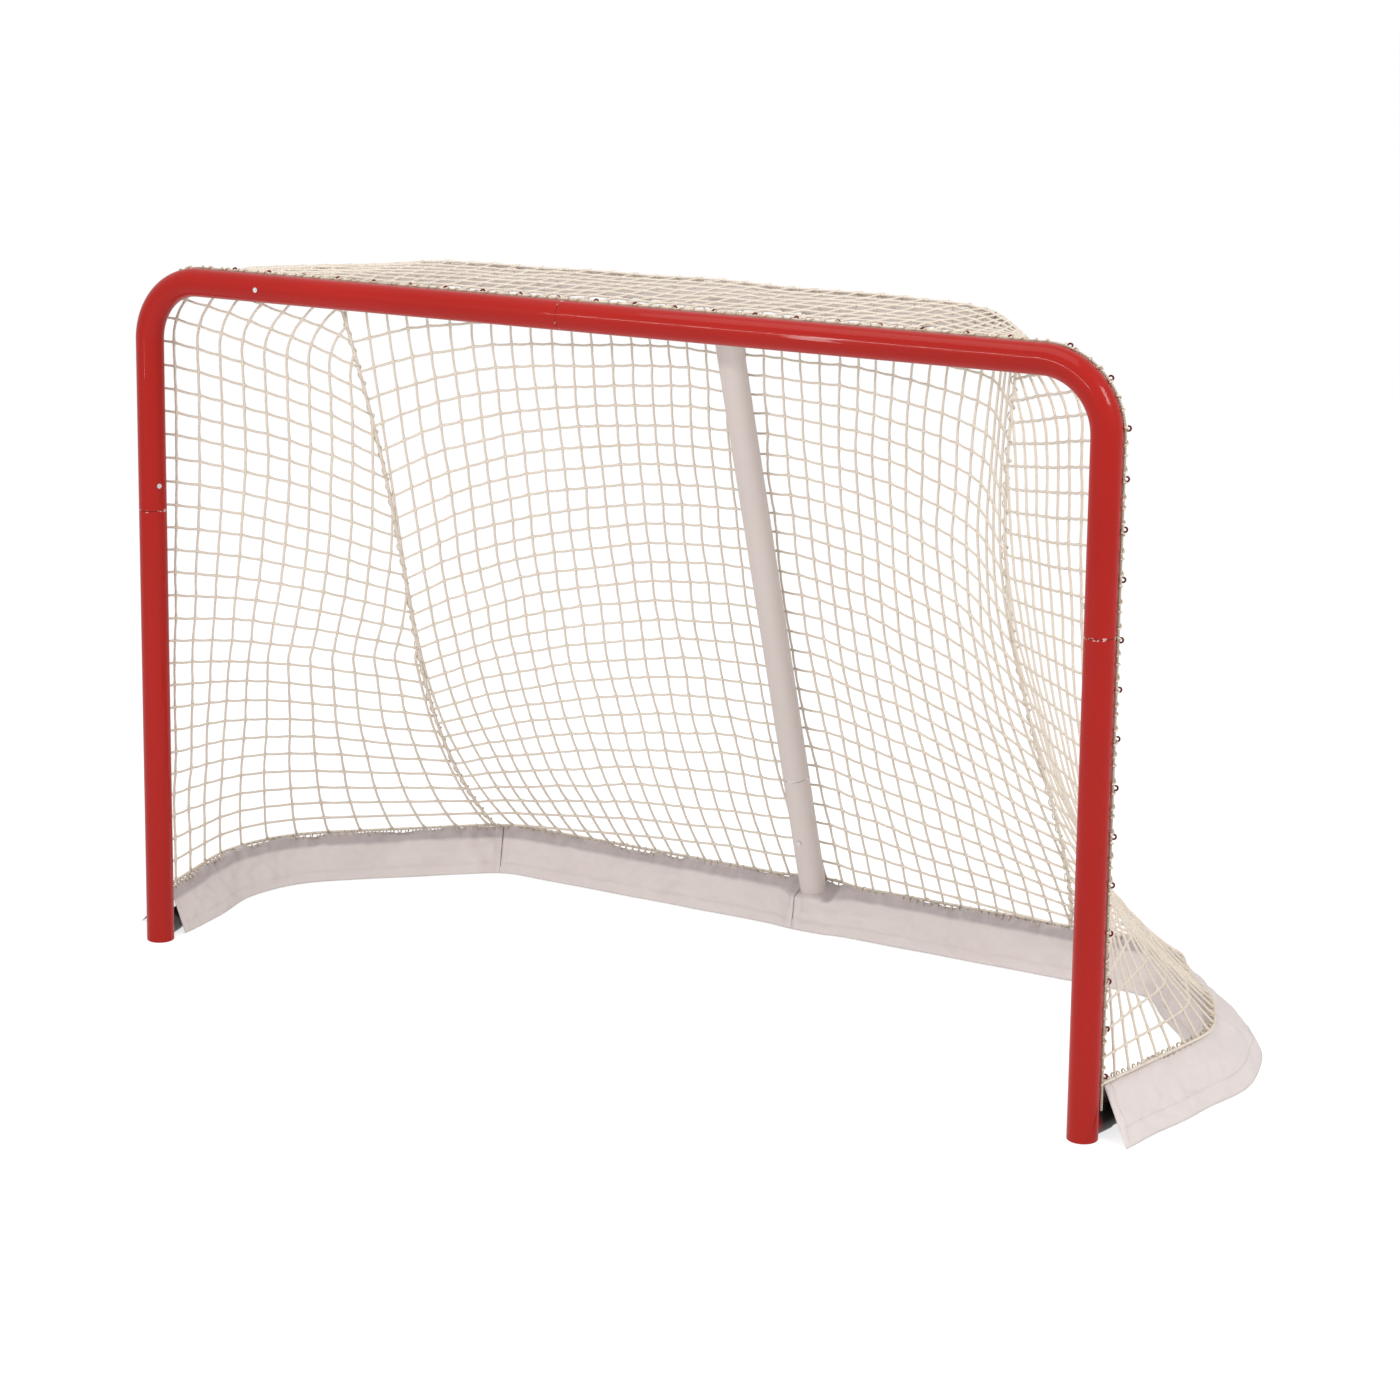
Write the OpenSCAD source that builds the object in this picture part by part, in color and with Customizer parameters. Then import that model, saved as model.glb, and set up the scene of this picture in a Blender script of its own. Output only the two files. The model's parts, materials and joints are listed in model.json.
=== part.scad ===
/* [Goal mouth] */
// Clear width between the posts
mouth_w = 1829; // [1700:1:1900]
// Clear height under the crossbar
mouth_h = 1219; // [1150:1:1260]
// Outside diameter of the posts and the crossbar
frame_d = 50.8; // [48:0.1:55]
// Wall of the posts and the crossbar
frame_wall = 2; // [1.5:0.1:3]
// Bend radius of the top corners, to the middle of the tube
corner_r = 112; // [100:1:130]
// Height of the joint in each post
post_joint_z = 820; // [780:1:850]
// Sideways place of the joint in the crossbar
bar_joint_x = -50; // [-65:1:-15]
// Length of the sleeve inside each joint of the front frame
sleeve_len = 160; // [140:1:200]
// Thickness of the cap under each post
foot_cap_t = 4; // [3:0.5:6]

/* [Top shelf] */
// Outside diameter of the shelf tube
shelf_d = 38.1; // [35:0.1:42]
// Wall of the shelf, base and socket tubes
back_wall = 1.8; // [1.5:0.1:2.5]
// Half the length of the sleeve inside the shelf
shelf_sleeve_half = 90; // [70:1:110]
// Distance of each end of the shelf inside the middle of its post
shelf_root_in = 139.9; // [130:0.1:150]
// Distance of each bend of the shelf inside the middle of its post
shelf_knee_in = 379.9; // [360:0.1:400]
// Length of the shelf's shallow sweep inside each bend
shelf_sweep_run = 300; // [260:5:340]
// Depth of the shelf's bends behind the goal line
shelf_knee_y = 350; // [335:1:365]
// Depth of the shelf's rear tube behind the goal line
shelf_y = 404; // [395:1:420]
// Bend radius of the shelf
shelf_bend_r = 150; // [110:1:190]

// Length of the shelf's sockets, from the middle of the crossbar
shelf_socket_len = 140; // [125:1:150]
// Reach of the shelf inside its sockets
shelf_grip = 75; // [60:1:85]

/* [Base] */
// Outside diameter of the base tube
base_d = 38.1; // [35:0.1:42]
// Depth of the rear base tube behind the goal line
base_y = 745; // [715:1:780]
// Distance of the widest part of the base outside the middles of the posts
base_spread = 66.1; // [56:0.1:80]
// Bend radius at the sides of the base
side_bend_r = 280; // [240:1:300]
// Bend radius at the rear of the base
rear_bend_r = 150; // [120:1:180]
// Outward turn of the left base tube where it leaves its post
flare_left = 14; // [12:0.5:16]
// Outward turn of the right base tube where it leaves its post
flare_right = 10.5; // [9.5:0.5:13]
// Turn of the left rear corner of the base
slant_left = 47.5; // [44:0.5:50]
// Turn of the right rear corner of the base
slant_right = 41; // [39:0.5:45]
// Length of the socket behind each post, from the middle of the post
base_socket_len = 60; // [55:1:75]
// Reach of the base tube inside its socket
base_grip = 30; // [25:1:32]
// Half the length of the sleeve inside the base
base_sleeve_half = 90; // [70:1:110]

/* [Centre post] */
// Outside diameter of the centre post
prop_d = 50; // [46:0.1:52]
// Wall of the centre post
prop_wall = 1.8; // [1.5:0.1:2.5]
// Sideways place of the centre post's foot
prop_foot_x = 55; // [40:1:70]
// Sideways place of the centre post's top
prop_top_x = 22; // [10:1:40]
// Height of the joint in the centre post
prop_joint_z = 310; // [280:1:340]
// Length of the sleeve inside the centre post
prop_sleeve_len = 320; // [300:1:360]
// Distance of each end of the centre post short of the middle of the tube it meets
prop_trim = 10; // [6:0.5:14]

/* [Hooks and lacing] */
// Wire diameter of a hook
hook_wire = 3.2; // [2.6:0.1:3.6]
// Outside diameter of a hook's eye
eye_d = 10.6; // [9.8:0.1:12]
// Height of a hook above its tube
hook_h = 14.2; // [13.4:0.1:15.5]
// Turn of the hooks from straight back towards the outside
hook_turn = 48; // [44:1:52]
// Spacing of the hooks along the crossbar
bar_hook_pitch = 76.2; // [72:0.1:77]
// Spacing of the hooks along the posts
post_hook_pitch = 79; // [76:0.5:80]
// Height of the lowest hook on a post
low_hook_z = 102; // [98:1:110]
// Height of the first hook above the joint in each post
high_hook_up = 88.5; // [84:0.5:94]
// Diameter of the lacing cord
lace_d = 4; // [3.2:0.1:4.4]
// Turn of the lacing cord from straight back towards the outside
lace_turn = 60; // [59:0.5:66]

// Height of the left end of the lacing cord
lace_end_left = 85; // [60:1:110]
// Height of the right end of the lacing cord
lace_end_right = 48; // [40:1:110]

/* [Net] */
// Width of a net strand
strand_w = 7; // [5:0.5:9]
// Thickness of the net
net_t = 3; // [2.4:0.1:3.4]
// Gaps across the back of the net
back_cols = 11; // [8:1:12]
// Gaps up the back and the sides of the net
net_rows = 10; // [8:1:10]
// Gaps along each side of the net
side_cols = 5; // [4:1:6]
// Gaps across the top of the net
top_cols = 12; // [8:1:12]
// Gaps from the front to the back of the top of the net
top_rows = 4; // [3:1:4]
// Forward sag of the left side seam
seam_sag_left = 70; // [40:1:90]
// Forward sag of the right side seam
seam_sag_right = 90; // [40:1:100]
// Sideways swell of the back of the net beside its seams
seam_swell = 28; // [10:1:36]
// Inward sag of each side of the net
side_sag = 15; // [5:1:30]
// Distance of the left seam's foot inside the widest part of the base
seam_foot_left = 328; // [315:1:340]
// Distance of the right seam's foot inside the widest part of the base
seam_foot_right = 426; // [410:1:440]
// Distance of each side seam from the shelf's end, along the shelf
seam_top_s = 240; // [200:1:260]
// Distance of the top of the net from the shelf's ends, along the shelf
top_start_s = 85; // [80:1:100]

/* [Skirt] */
// Height of the skirt
skirt_h = 86; // [80:1:100]
// Thickness of the skirt's cloth
cloth_t = 2.4; // [1.8:0.1:3]
// Reach of the outer hem beyond the base tube
hem_out = 80; // [70:1:86]
// Reach of the inner hem inside the base tube
hem_in = 50; // [46:1:54]
// Reach of the top edge beyond the base tube
ridge_out = 3; // [1:0.5:8]
// Height of the fold along the top of the inner flap
fold_z = 64; // [60:1:70]
// Reach of that fold inside the base tube
fold_in = 12; // [10:1:16]
// Depth of the folds in the hems
hem_wave = 8; // [2:0.5:9]
// Length of each fold in the hems, along the base
hem_wave_len = 170; // [150:5:200]
// Distance of each skirt seam inside the widest part of the base
skirt_seam_in = 346; // [335:1:360]
// Distance of the left outer hem's end behind its post
hem_start_left = 84; // [70:1:90]
// Distance of the right outer hem's end behind its post
hem_start_right = 8; // [6:1:30]
// Distance of the skirt's top edge behind the posts
ridge_start = 50; // [46:1:60]
// Distance of the inner flap behind the posts
flap_start = 43; // [40:1:48]
// Distance over which the skirt goes round the centre post
prop_bypass = 62; // [58:1:70]

/* [Fasteners] */
// Diameter of a joint screw
screw_d = 4.5; // [4:0.1:5]
// Diameter of a joint screw's head
screw_head_d = 9; // [8:0.1:10]
// Thickness of a joint screw's head
screw_head_h = 2.4; // [2:0.1:3]
// Turn of the post screws from the front towards the goal
post_screw_turn = 66; // [55:1:75]
// Distance of a post screw above its joint
post_screw_up = 47; // [35:1:55]
// Distance of the crossbar's screw inside the middle of the left post
bar_screw_in = 262.9; // [250:0.1:280]
// Height of the screw in the centre post
prop_screw_z = 184; // [175:1:200]

/* [Clearances] */
// Gap between a welded or seated piece and the tube that it sits on
seat_gap = 0.15; // [0.1:0.05:0.3]
// Radial gap of a tube that slides into another
slide_gap = 0.2; // [0.15:0.05:0.3]
// Gap between cloth, net or cord and what is next to it
soft_gap = 0.4; // [0.3:0.1:0.6]

/* [Hidden] */
$fn = 48;

red = [0.78, 0.15, 0.13];
dark_red = [0.42, 0.10, 0.10];
pale_grey = [0.84, 0.82, 0.82];
black = [0.10, 0.10, 0.11];
cream = [0.90, 0.87, 0.81];
cloth_white = [0.90, 0.87, 0.87];
zinc = [0.75, 0.76, 0.78];

frame_r = frame_d / 2;
post_x = mouth_w / 2 + frame_r;
bar_z = mouth_h + frame_r;
shelf_z = bar_z;
shelf_r = shelf_d / 2;
base_r = base_d / 2;
prop_r = prop_d / 2;
shelf_socket_d = shelf_d + 2 * (slide_gap + back_wall);
base_socket_d = base_d + 2 * (slide_gap + back_wall);
base_z = base_socket_d / 2;
base_half_w = post_x + base_spread;
shelf_root_x = post_x - shelf_root_in;
shelf_knee_x = post_x - shelf_knee_in;
shelf_inner_x = shelf_knee_x - shelf_sweep_run;

// The model's origin is on the floor, midway between its front and its rear edge
skirt_rear_y = base_y + hem_out;
front_y = -(frame_r + seat_gap + screw_head_h);
middle_y = (skirt_rear_y + front_y) / 2;
module placed() { translate([0, -middle_y, 0]) children(); }
module mirrored_if(flip) {
    if (flip) mirror([1, 0, 0]) children();
    else children();
}

// ---- paths of straight runs and round bends, in a plane ----
function unit(v) = v / norm(v);
function flat3(v, z) = [v[0], v[1], z];
function left_of(v) = [-v[1], v[0]];
function lerp(a, b, t) = a * (1 - t) + b * t;
function heading(p, i) = unit(p[i + 1] - p[i]);
function turn_at(p, i) =
    let (a = heading(p, i - 1), b = heading(p, i)) atan2(a[0] * b[1] - a[1] * b[0], a * b);
function is_end(p, i) = i == 0 || i == len(p) - 1;
function setback(p, r, i) = is_end(p, i) ? 0 : r[i] * tan(abs(turn_at(p, i)) / 2);
function bend_start(p, r, i) = p[i] - heading(p, i - 1) * setback(p, r, i);
function bend_centre(p, r, i) =
    bend_start(p, r, i) + left_of(heading(p, i - 1)) * r[i] * sign(turn_at(p, i));
// The same path moved sideways, to the left of its direction when n is positive
function moved_point(p, i, n) =
    i == 0 ? p[0] + left_of(heading(p, 0)) * n
    : i == len(p) - 1 ? p[i] + left_of(heading(p, i - 1)) * n
    : let (a = heading(p, i - 1), b = heading(p, i)) p[i] + left_of(a + b) * n / (1 + a * b);
function moved(p, n) = [for (i = [0 : len(p) - 1]) moved_point(p, i, n)];
function moved_r(p, r, n) =
    [for (i = [0 : len(p) - 1]) is_end(p, i) ? 0 : r[i] - sign(turn_at(p, i)) * n];
// Points along the path, with 8 steps in each bend
bend_steps = 8;
function bend_points(p, r, i) =
    let (c = bend_centre(p, r, i), arm = bend_start(p, r, i) - c, turn = turn_at(p, i))
    [for (k = [0 : bend_steps]) let (a = turn * k / bend_steps)
        c + [arm[0] * cos(a) - arm[1] * sin(a), arm[0] * sin(a) + arm[1] * cos(a)]];
function path_points(p, r) =
    [p[0], for (i = [1 : 1 : len(p) - 2]) each bend_points(p, r, i), p[len(p) - 1]];
// A table of distance, first and second coordinate, and where a distance falls in it
function running_sum(q) = [for (i = 0, s = 0; i < len(q);
    s = s + (i + 1 < len(q) ? norm(q[i + 1] - q[i]) : 0), i = i + 1) s];
function path_table(p, r) =
    let (q = path_points(p, r), s = running_sum(q))
    [[for (i = [0 : len(q) - 1]) [s[i], q[i][0]]], [for (i = [0 : len(q) - 1]) [s[i], q[i][1]]]];
function at_s(table, s) = [lookup(s, table[0]), lookup(s, table[1])];
function length_of(table) = table[0][len(table[0]) - 1][0];

module tube_section(d, wall) {
    difference() {
        circle(d = d);
        if (wall > 0) circle(d = d - 2 * wall);
    }
}
// A round tube along a path in the XY plane, or a rod when wall is 0
module bent_tube(p, r, d, wall) {
    difference() {
        bent_rod(p, r, d, 0);
        if (wall > 0) bent_rod(p, r, d - 2 * wall, 1);
    }
}
// The straight runs reach a little way into the bends, which are a hair thicker.
// The rod runs past both ends of its path by extra.
bend_lap = 1;
bend_swell = 0.2;
module bent_rod(p, r, d, extra) {
    // The seams of the runs and the bends line up along the outside of the bends
    seam = len(p) > 2 ? -90 * sign(turn_at(p, 1)) : 0;
    for (i = [0 : len(p) - 2]) {
        back = i == 0 ? -extra : setback(p, r, i) - bend_lap;
        ahead = i == len(p) - 2 ? -extra : setback(p, r, i + 1) - bend_lap;
        h = heading(p, i);
        start = p[i] + h * back;
        translate([start[0], start[1], 0])
            rotate([0, 90, atan2(h[1], h[0])])
                rotate([0, 0, seam]) cylinder(h = norm(p[i + 1] - p[i]) - back - ahead, d = d);
    }
    for (i = [1 : 1 : len(p) - 2]) {
        turn = turn_at(p, i);
        c = bend_centre(p, r, i);
        arm = bend_start(p, r, i) - c;
        translate([c[0], c[1], 0])
            rotate([0, 0, atan2(arm[1], arm[0]) + min(turn, 0)])
                rotate_extrude(angle = abs(turn)) translate([r[i], 0]) circle(d = d + bend_swell);
    }
}
// Stands an XY drawing up in the plane of the goal mouth
module upright() { rotate([90, 0, 0]) children(); }
// A straight rod from a to b
module rod(a, b, d) {
    v = b - a;
    translate(a)
        rotate([0, acos(v[2] / norm(v)), atan2(v[1], v[0])])
            cylinder(h = norm(v), d = d);
}
// A screw whose head sits at p, its shank running against the direction out
module screw(p, out, reach) {
    seat = p + out * seat_gap;
    union() {
        rod(seat, seat + out * screw_head_h, screw_head_d);
        rod(p - out * reach, seat + out * screw_head_h / 2, screw_d);
    }
}
module screw_hole(p, out, reach) {
    rod(p - out * reach, p + out * screw_head_h, screw_d + 2 * slide_gap);
}

// ---- front frame ----
function post_screw_dir(side) = [-side * sin(post_screw_turn), -cos(post_screw_turn), 0];
function post_screw_at(side) =
    [side * post_x, 0, post_joint_z + post_screw_up] + post_screw_dir(side) * frame_r;
post_screw_reach = frame_wall * 2 + slide_gap + 3;
bar_screw_at = [bar_screw_in - post_x, -frame_r, bar_z];
bar_screw_reach = frame_wall + 6;

module corner_tube(side) {
    p = [[side * post_x, post_joint_z], [side * post_x, bar_z], [bar_joint_x, bar_z]];
    difference() {
        upright() bent_tube(p, [0, corner_r, 0], frame_d, frame_wall);
        screw_hole(post_screw_at(side), post_screw_dir(side), post_screw_reach);
        if (side < 0) screw_hole(bar_screw_at, [0, -1, 0], bar_screw_reach);
    }
}
module lower_post(side) {
    translate([side * post_x, 0, foot_cap_t])
        linear_extrude(post_joint_z - foot_cap_t) tube_section(frame_d, frame_wall);
}
sleeve_d = frame_d - 2 * (frame_wall + slide_gap);
module post_sleeve(side) {
    difference() {
        translate([side * post_x, 0, post_joint_z - sleeve_len / 2])
            linear_extrude(sleeve_len) tube_section(sleeve_d, frame_wall);
        screw_hole(post_screw_at(side), post_screw_dir(side), post_screw_reach);
    }
}
module foot_cap(side) {
    rim = foot_cap_t / 2;
    stem_r = frame_r - frame_wall - slide_gap;
    translate([side * post_x, 0, 0])
        rotate_extrude() {
            difference() {
                union() {
                    square([frame_r - rim, foot_cap_t * 4]);
                    translate([frame_r - rim, rim]) circle(r = rim);
                    translate([0, rim]) square([frame_r, foot_cap_t - rim]);
                }
                translate([stem_r, foot_cap_t]) square([frame_r, foot_cap_t * 4]);
                translate([-frame_r, -rim]) square([frame_r, foot_cap_t * 6]);
            }
        }
}

// ---- top shelf ----
shelf_path = [[-shelf_root_x, 0], [-shelf_knee_x, shelf_knee_y], [-shelf_inner_x, shelf_y],
              [shelf_inner_x, shelf_y], [shelf_knee_x, shelf_knee_y], [shelf_root_x, 0]];
shelf_sweep_r = 1400;
shelf_radii = [0, shelf_bend_r, shelf_sweep_r, shelf_sweep_r, shelf_bend_r, 0];
shelf_dir = heading(shelf_path, 0);

module shelf_socket(side) {
    mirrored_if(side > 0)
        difference() {
            translate([0, 0, shelf_z])
                bent_tube([shelf_path[0], shelf_path[0] + shelf_dir * shelf_socket_len], [0, 0],
                          shelf_socket_d, back_wall);
            rod([-shelf_root_x - frame_d * 2, 0, bar_z], [-shelf_root_x + frame_d * 2, 0, bar_z],
                frame_d + 2 * seat_gap);
            translate([-shelf_root_x - frame_d * 2, -frame_d * 2, shelf_z - frame_d])
                cube([frame_d * 4, frame_d * 2, frame_d * 2]);
        }
}
module shelf_half(side) {
    start = shelf_path[0] + shelf_dir * (shelf_socket_len - shelf_grip);
    p = [start, shelf_path[1], shelf_path[2], [-seat_gap, shelf_y]];
    mirrored_if(side > 0)
        translate([0, 0, shelf_z]) bent_tube(p, [0, shelf_bend_r, shelf_sweep_r, 0], shelf_d, back_wall);
}
shelf_sleeve_d = shelf_d - 2 * (back_wall + slide_gap);
module shelf_sleeve() placed() color(zinc)
    translate([0, 0, shelf_z])
        bent_tube([[-shelf_sleeve_half, shelf_y], [shelf_sleeve_half, shelf_y]], [0, 0],
                  shelf_sleeve_d, back_wall);

// ---- base ----
// The bend at each side is tangent to the widest line, and the rear corner slants to the rear bar
function side_setback(flare, slant) = side_bend_r * tan((flare + slant) / 2);
function side_corner(flare, slant) =
    let (x = base_half_w - side_bend_r * (1 - cos(flare)) + side_setback(flare, slant) * sin(flare))
    [x, (x - post_x) / tan(flare)];
function rear_corner(flare, slant) =
    let (c = side_corner(flare, slant)) [c[0] - (base_y - c[1]) * tan(slant), base_y];
function base_path(side) =
    let (flare = side < 0 ? flare_left : flare_right, slant = side < 0 ? slant_left : slant_right,
         a = side_corner(flare, slant), b = rear_corner(flare, slant))
    [[side * post_x, 0], [side * a[0], a[1]], [side * b[0], b[1]], [prop_foot_x, base_y]];
base_radii = [0, side_bend_r, rear_bend_r, 0];
// The base's middle line from each post to where the skirt's two rear panels meet
skirt_meet_x = prop_foot_x - prop_r - 1;
function skirt_path(side) =
    let (p = base_path(side)) [p[0], p[1], p[2], [skirt_meet_x, base_y]];
base_table_left = path_table(skirt_path(-1), base_radii);
base_table_right = path_table(skirt_path(1), base_radii);
function base_table(side) = side < 0 ? base_table_left : base_table_right;

module base_socket(side) {
    p = base_path(side);
    difference() {
        translate([0, 0, base_z])
            bent_tube([p[0], p[0] + heading(p, 0) * base_socket_len], [0, 0], base_socket_d, back_wall);
        translate([side * post_x, 0, -1]) cylinder(h = base_socket_d + 2, r = frame_r + seat_gap);
        translate([side * post_x - frame_d, -frame_d * 2, -1])
            cube([frame_d * 2, frame_d * 2, base_socket_d + 2]);
    }
}
module base_half(side) {
    p = base_path(side);
    start = p[0] + heading(p, 0) * (base_socket_len - base_grip);
    finish = [prop_foot_x + side * seat_gap, base_y];
    translate([0, 0, base_z]) bent_tube([start, p[1], p[2], finish], base_radii, base_d, back_wall);
}
base_sleeve_d = base_d - 2 * (back_wall + slide_gap);
module base_sleeve() placed() color(zinc)
    translate([0, 0, base_z])
        bent_tube([[prop_foot_x - base_sleeve_half, base_y], [prop_foot_x + base_sleeve_half, base_y]],
                  [0, 0], base_sleeve_d, back_wall);

// ---- centre post, a leaning tube shaped to sit against the base and under the shelf ----
prop_foot = [prop_foot_x, base_y, base_z];
prop_top = [prop_top_x, shelf_y, shelf_z];
prop_dir = unit(prop_top - prop_foot);
prop_front = unit([0, -prop_dir[2], prop_dir[1]]);
function prop_at(z) = prop_foot + prop_dir * (z - base_z) / prop_dir[2];
prop_screw_at = prop_at(prop_screw_z) + prop_front * prop_r;
prop_screw_reach = prop_wall * 2 + slide_gap + 3;
module prop_piece(z0, z1) {
    difference() {
        rod_tube(prop_at(z0), prop_at(z1), prop_d, prop_wall);
        rod([prop_top_x - prop_d, shelf_y, shelf_z], [prop_top_x + prop_d, shelf_y, shelf_z],
            shelf_d + 2 * seat_gap);
        rod([prop_foot_x - prop_d, base_y, base_z], [prop_foot_x + prop_d, base_y, base_z],
            base_d + 2 * seat_gap);
        translate([prop_top_x - prop_d, shelf_y - prop_d * 1.5, shelf_z - prop_trim]) cube(prop_d * 3);
        translate([prop_foot_x - prop_d, base_y - prop_d * 1.5, base_z + prop_trim - prop_d * 3])
            cube(prop_d * 3);
        screw_hole(prop_screw_at, prop_front, prop_screw_reach);
    }
}
module rod_tube(a, b, d, wall) {
    v = b - a;
    translate(a)
        rotate([0, acos(v[2] / norm(v)), atan2(v[1], v[0])])
            linear_extrude(norm(v)) tube_section(d, wall);
}
module centre_post_upper() placed() color(pale_grey) prop_piece(prop_joint_z, shelf_z + prop_d);
module centre_post_lower() placed() color(pale_grey) prop_piece(base_z - prop_d, prop_joint_z);
module centre_post_sleeve() placed() color(zinc)
    difference() {
        rod_tube(prop_at(prop_joint_z) - prop_dir * prop_sleeve_len / 2,
                 prop_at(prop_joint_z) + prop_dir * prop_sleeve_len / 2,
                 prop_d - 2 * (prop_wall + slide_gap), prop_wall);
        screw_hole(prop_screw_at, prop_front, prop_screw_reach);
    }

// ---- hooks: a wire stem welded to the tube, and an eye left open at its end ----
eye_r = (eye_d - hook_wire) / 2;
eye_opening = 70;
module hook() {
    // Stands on the XY plane at the origin, with its eye in the XZ plane
    eye_z = hook_h - eye_d / 2;
    union() {
        cylinder(h = eye_z - eye_r, d = hook_wire);
        translate([0, 0, eye_z])
            rotate([90, 0, 0])
                rotate([0, 0, -90])
                    rotate_extrude(angle = 360 - eye_opening)
                        translate([eye_r, 0]) circle(d = hook_wire);
    }
}
bar_straight_x = post_x - corner_r;
bar_hook_count = floor((bar_straight_x - 25) / bar_hook_pitch);
corner_hook_turns = [15, 50];
module bar_hook(x) {
    translate([x, 0, bar_z])
        rotate([hook_turn - 90, 0, 0]) translate([0, 0, frame_r + seat_gap]) hook();
}
module corner_hook(side, a) {
    // a turns the hook round the bend, from the crossbar towards the post
    translate([side * bar_straight_x, 0, bar_z - corner_r])
        mirrored_if(side < 0)
            rotate([0, a, 0]) translate([0, 0, corner_r])
                rotate([hook_turn - 90, 0, 0]) translate([0, 0, frame_r + seat_gap]) hook();
}
module post_hook(side, z) {
    translate([side * post_x, 0, z])
        mirrored_if(side < 0)
            rotate([0, 90, 0]) rotate([hook_turn - 90, 0, 0])
                translate([0, 0, frame_r + seat_gap]) hook();
}
// The hooks fill the room below the joint, and above it as far as the start of the bend
hook_room = 5;
bend_room = 20;
high_hook_z = post_joint_z + high_hook_up;
module post_hook_row(side) {
    for (z = [low_hook_z : post_hook_pitch : post_joint_z - hook_room]) post_hook(side, z);
    for (z = [high_hook_z : post_hook_pitch : bar_z - corner_r + bend_room]) post_hook(side, z);
}
module crossbar_hooks() placed() color(dark_red) {
    for (k = [-bar_hook_count : bar_hook_count]) bar_hook(k * bar_hook_pitch);
    for (side = [-1, 1], a = corner_hook_turns) corner_hook(side, a);
}
module post_hooks_left() placed() color(dark_red) post_hook_row(-1);
module post_hooks_right() placed() color(dark_red) post_hook_row(1);

// ---- lacing cord, one length round the frame, on the tube just outside the hooks ----
// out is the distance outwards from the tube's middle, and back the distance behind it
lace_arm = frame_r + soft_gap + lace_d / 2;
lace_out = lace_arm * sin(lace_turn);
lace_back = lace_arm * cos(lace_turn);
lace_x = post_x + lace_out;
lace_top_z = bar_z + lace_out;
lace_bend_r = corner_r + lace_out;
module frame_lacing() placed() color(cream)
    translate([0, lace_back, 0]) upright()
        bent_tube([[-lace_x, lace_end_left], [-lace_x, lace_top_z], [lace_x, lace_top_z],
                   [lace_x, lace_end_right]], [0, lace_bend_r, lace_bend_r, 0], lace_d, 0);

// ---- net: a sheet of square gaps over a form that its edges define ----
// spot(u, v) gives a point for shares u and v of the sheet, from 0 to 1
module lattice(spot, cols, rows) {
    half_u = strand_w / 2 / norm(spot(1, 0.5) - spot(0, 0.5));
    half_v = strand_w / 2 / norm(spot(0.5, 1) - spot(0.5, 0));
    us = [for (i = [0 : cols]) let (c = lerp(half_u, 1 - half_u, i / cols)) each [c - half_u, c + half_u]];
    vs = [for (i = [0 : rows]) let (c = lerp(half_v, 1 - half_v, i / rows)) each [c - half_v, c + half_v]];
    nu = len(us);
    nv = len(vs);
    step = 0.004;
    mids = [for (v = vs, u = us) spot(u, v)];
    normals = [for (v = vs, u = us)
        unit(cross(spot(u + step, v) - spot(u - step, v),
                   spot(u, v + step) - spot(u, v - step)))];
    points = [for (i = [0 : nu * nv - 1]) mids[i] + normals[i] * net_t / 2,
              for (i = [0 : nu * nv - 1]) mids[i] - normals[i] * net_t / 2];
    solid = function (a, b) a >= 0 && b >= 0 && a < nu - 1 && b < nv - 1 && !(a % 2 == 1 && b % 2 == 1);
    front = function (a, b) b * nu + a;
    back = function (a, b) nu * nv + b * nu + a;
    faces = [for (a = [0 : nu - 2], b = [0 : nv - 2]) if (solid(a, b)) each concat(
        quad(front(a, b), front(a, b + 1), front(a + 1, b + 1), front(a + 1, b)),
        quad(back(a, b), back(a + 1, b), back(a + 1, b + 1), back(a, b + 1)),
        solid(a + 1, b) ? [] : quad(front(a + 1, b), front(a + 1, b + 1), back(a + 1, b + 1), back(a + 1, b)),
        solid(a - 1, b) ? [] : quad(front(a, b), back(a, b), back(a, b + 1), front(a, b + 1)),
        solid(a, b + 1) ? [] : quad(back(a + 1, b + 1), front(a + 1, b + 1), front(a, b + 1), back(a, b + 1)),
        solid(a, b - 1) ? [] : quad(back(a + 1, b), back(a, b), front(a, b), front(a + 1, b)))];
    polyhedron(points, faces);
}
function quad(a, b, c, d) = [[a, b, c], [a, c, d]];

// The net's edge on the frame, behind the eyes of the hooks
edge_arm = frame_r + seat_gap + hook_h - eye_d / 2;
edge_side = hook_wire / 2 + soft_gap + net_t / 2;
edge_out = edge_arm * sin(hook_turn) - edge_side * cos(hook_turn);
edge_back = edge_arm * cos(hook_turn) + edge_side * sin(hook_turn);
net_foot_z = skirt_h + soft_gap;
// The skirt's top edge and the net's foot go round the back of the centre post
prop_bypass_out = prop_r - 4;
function near_prop(d) = exp(-pow(d / prop_bypass, 4));
// The net clears the shelf's sockets and the back of the centre post
shelf_wrap = max(shelf_socket_d / 2, prop_r / prop_dir[2]) + net_t / 2 + soft_gap + 2;
crest_out = 9;
crest_up = shelf_socket_d / 2 + net_t / 2 + soft_gap + 0.4;

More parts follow.
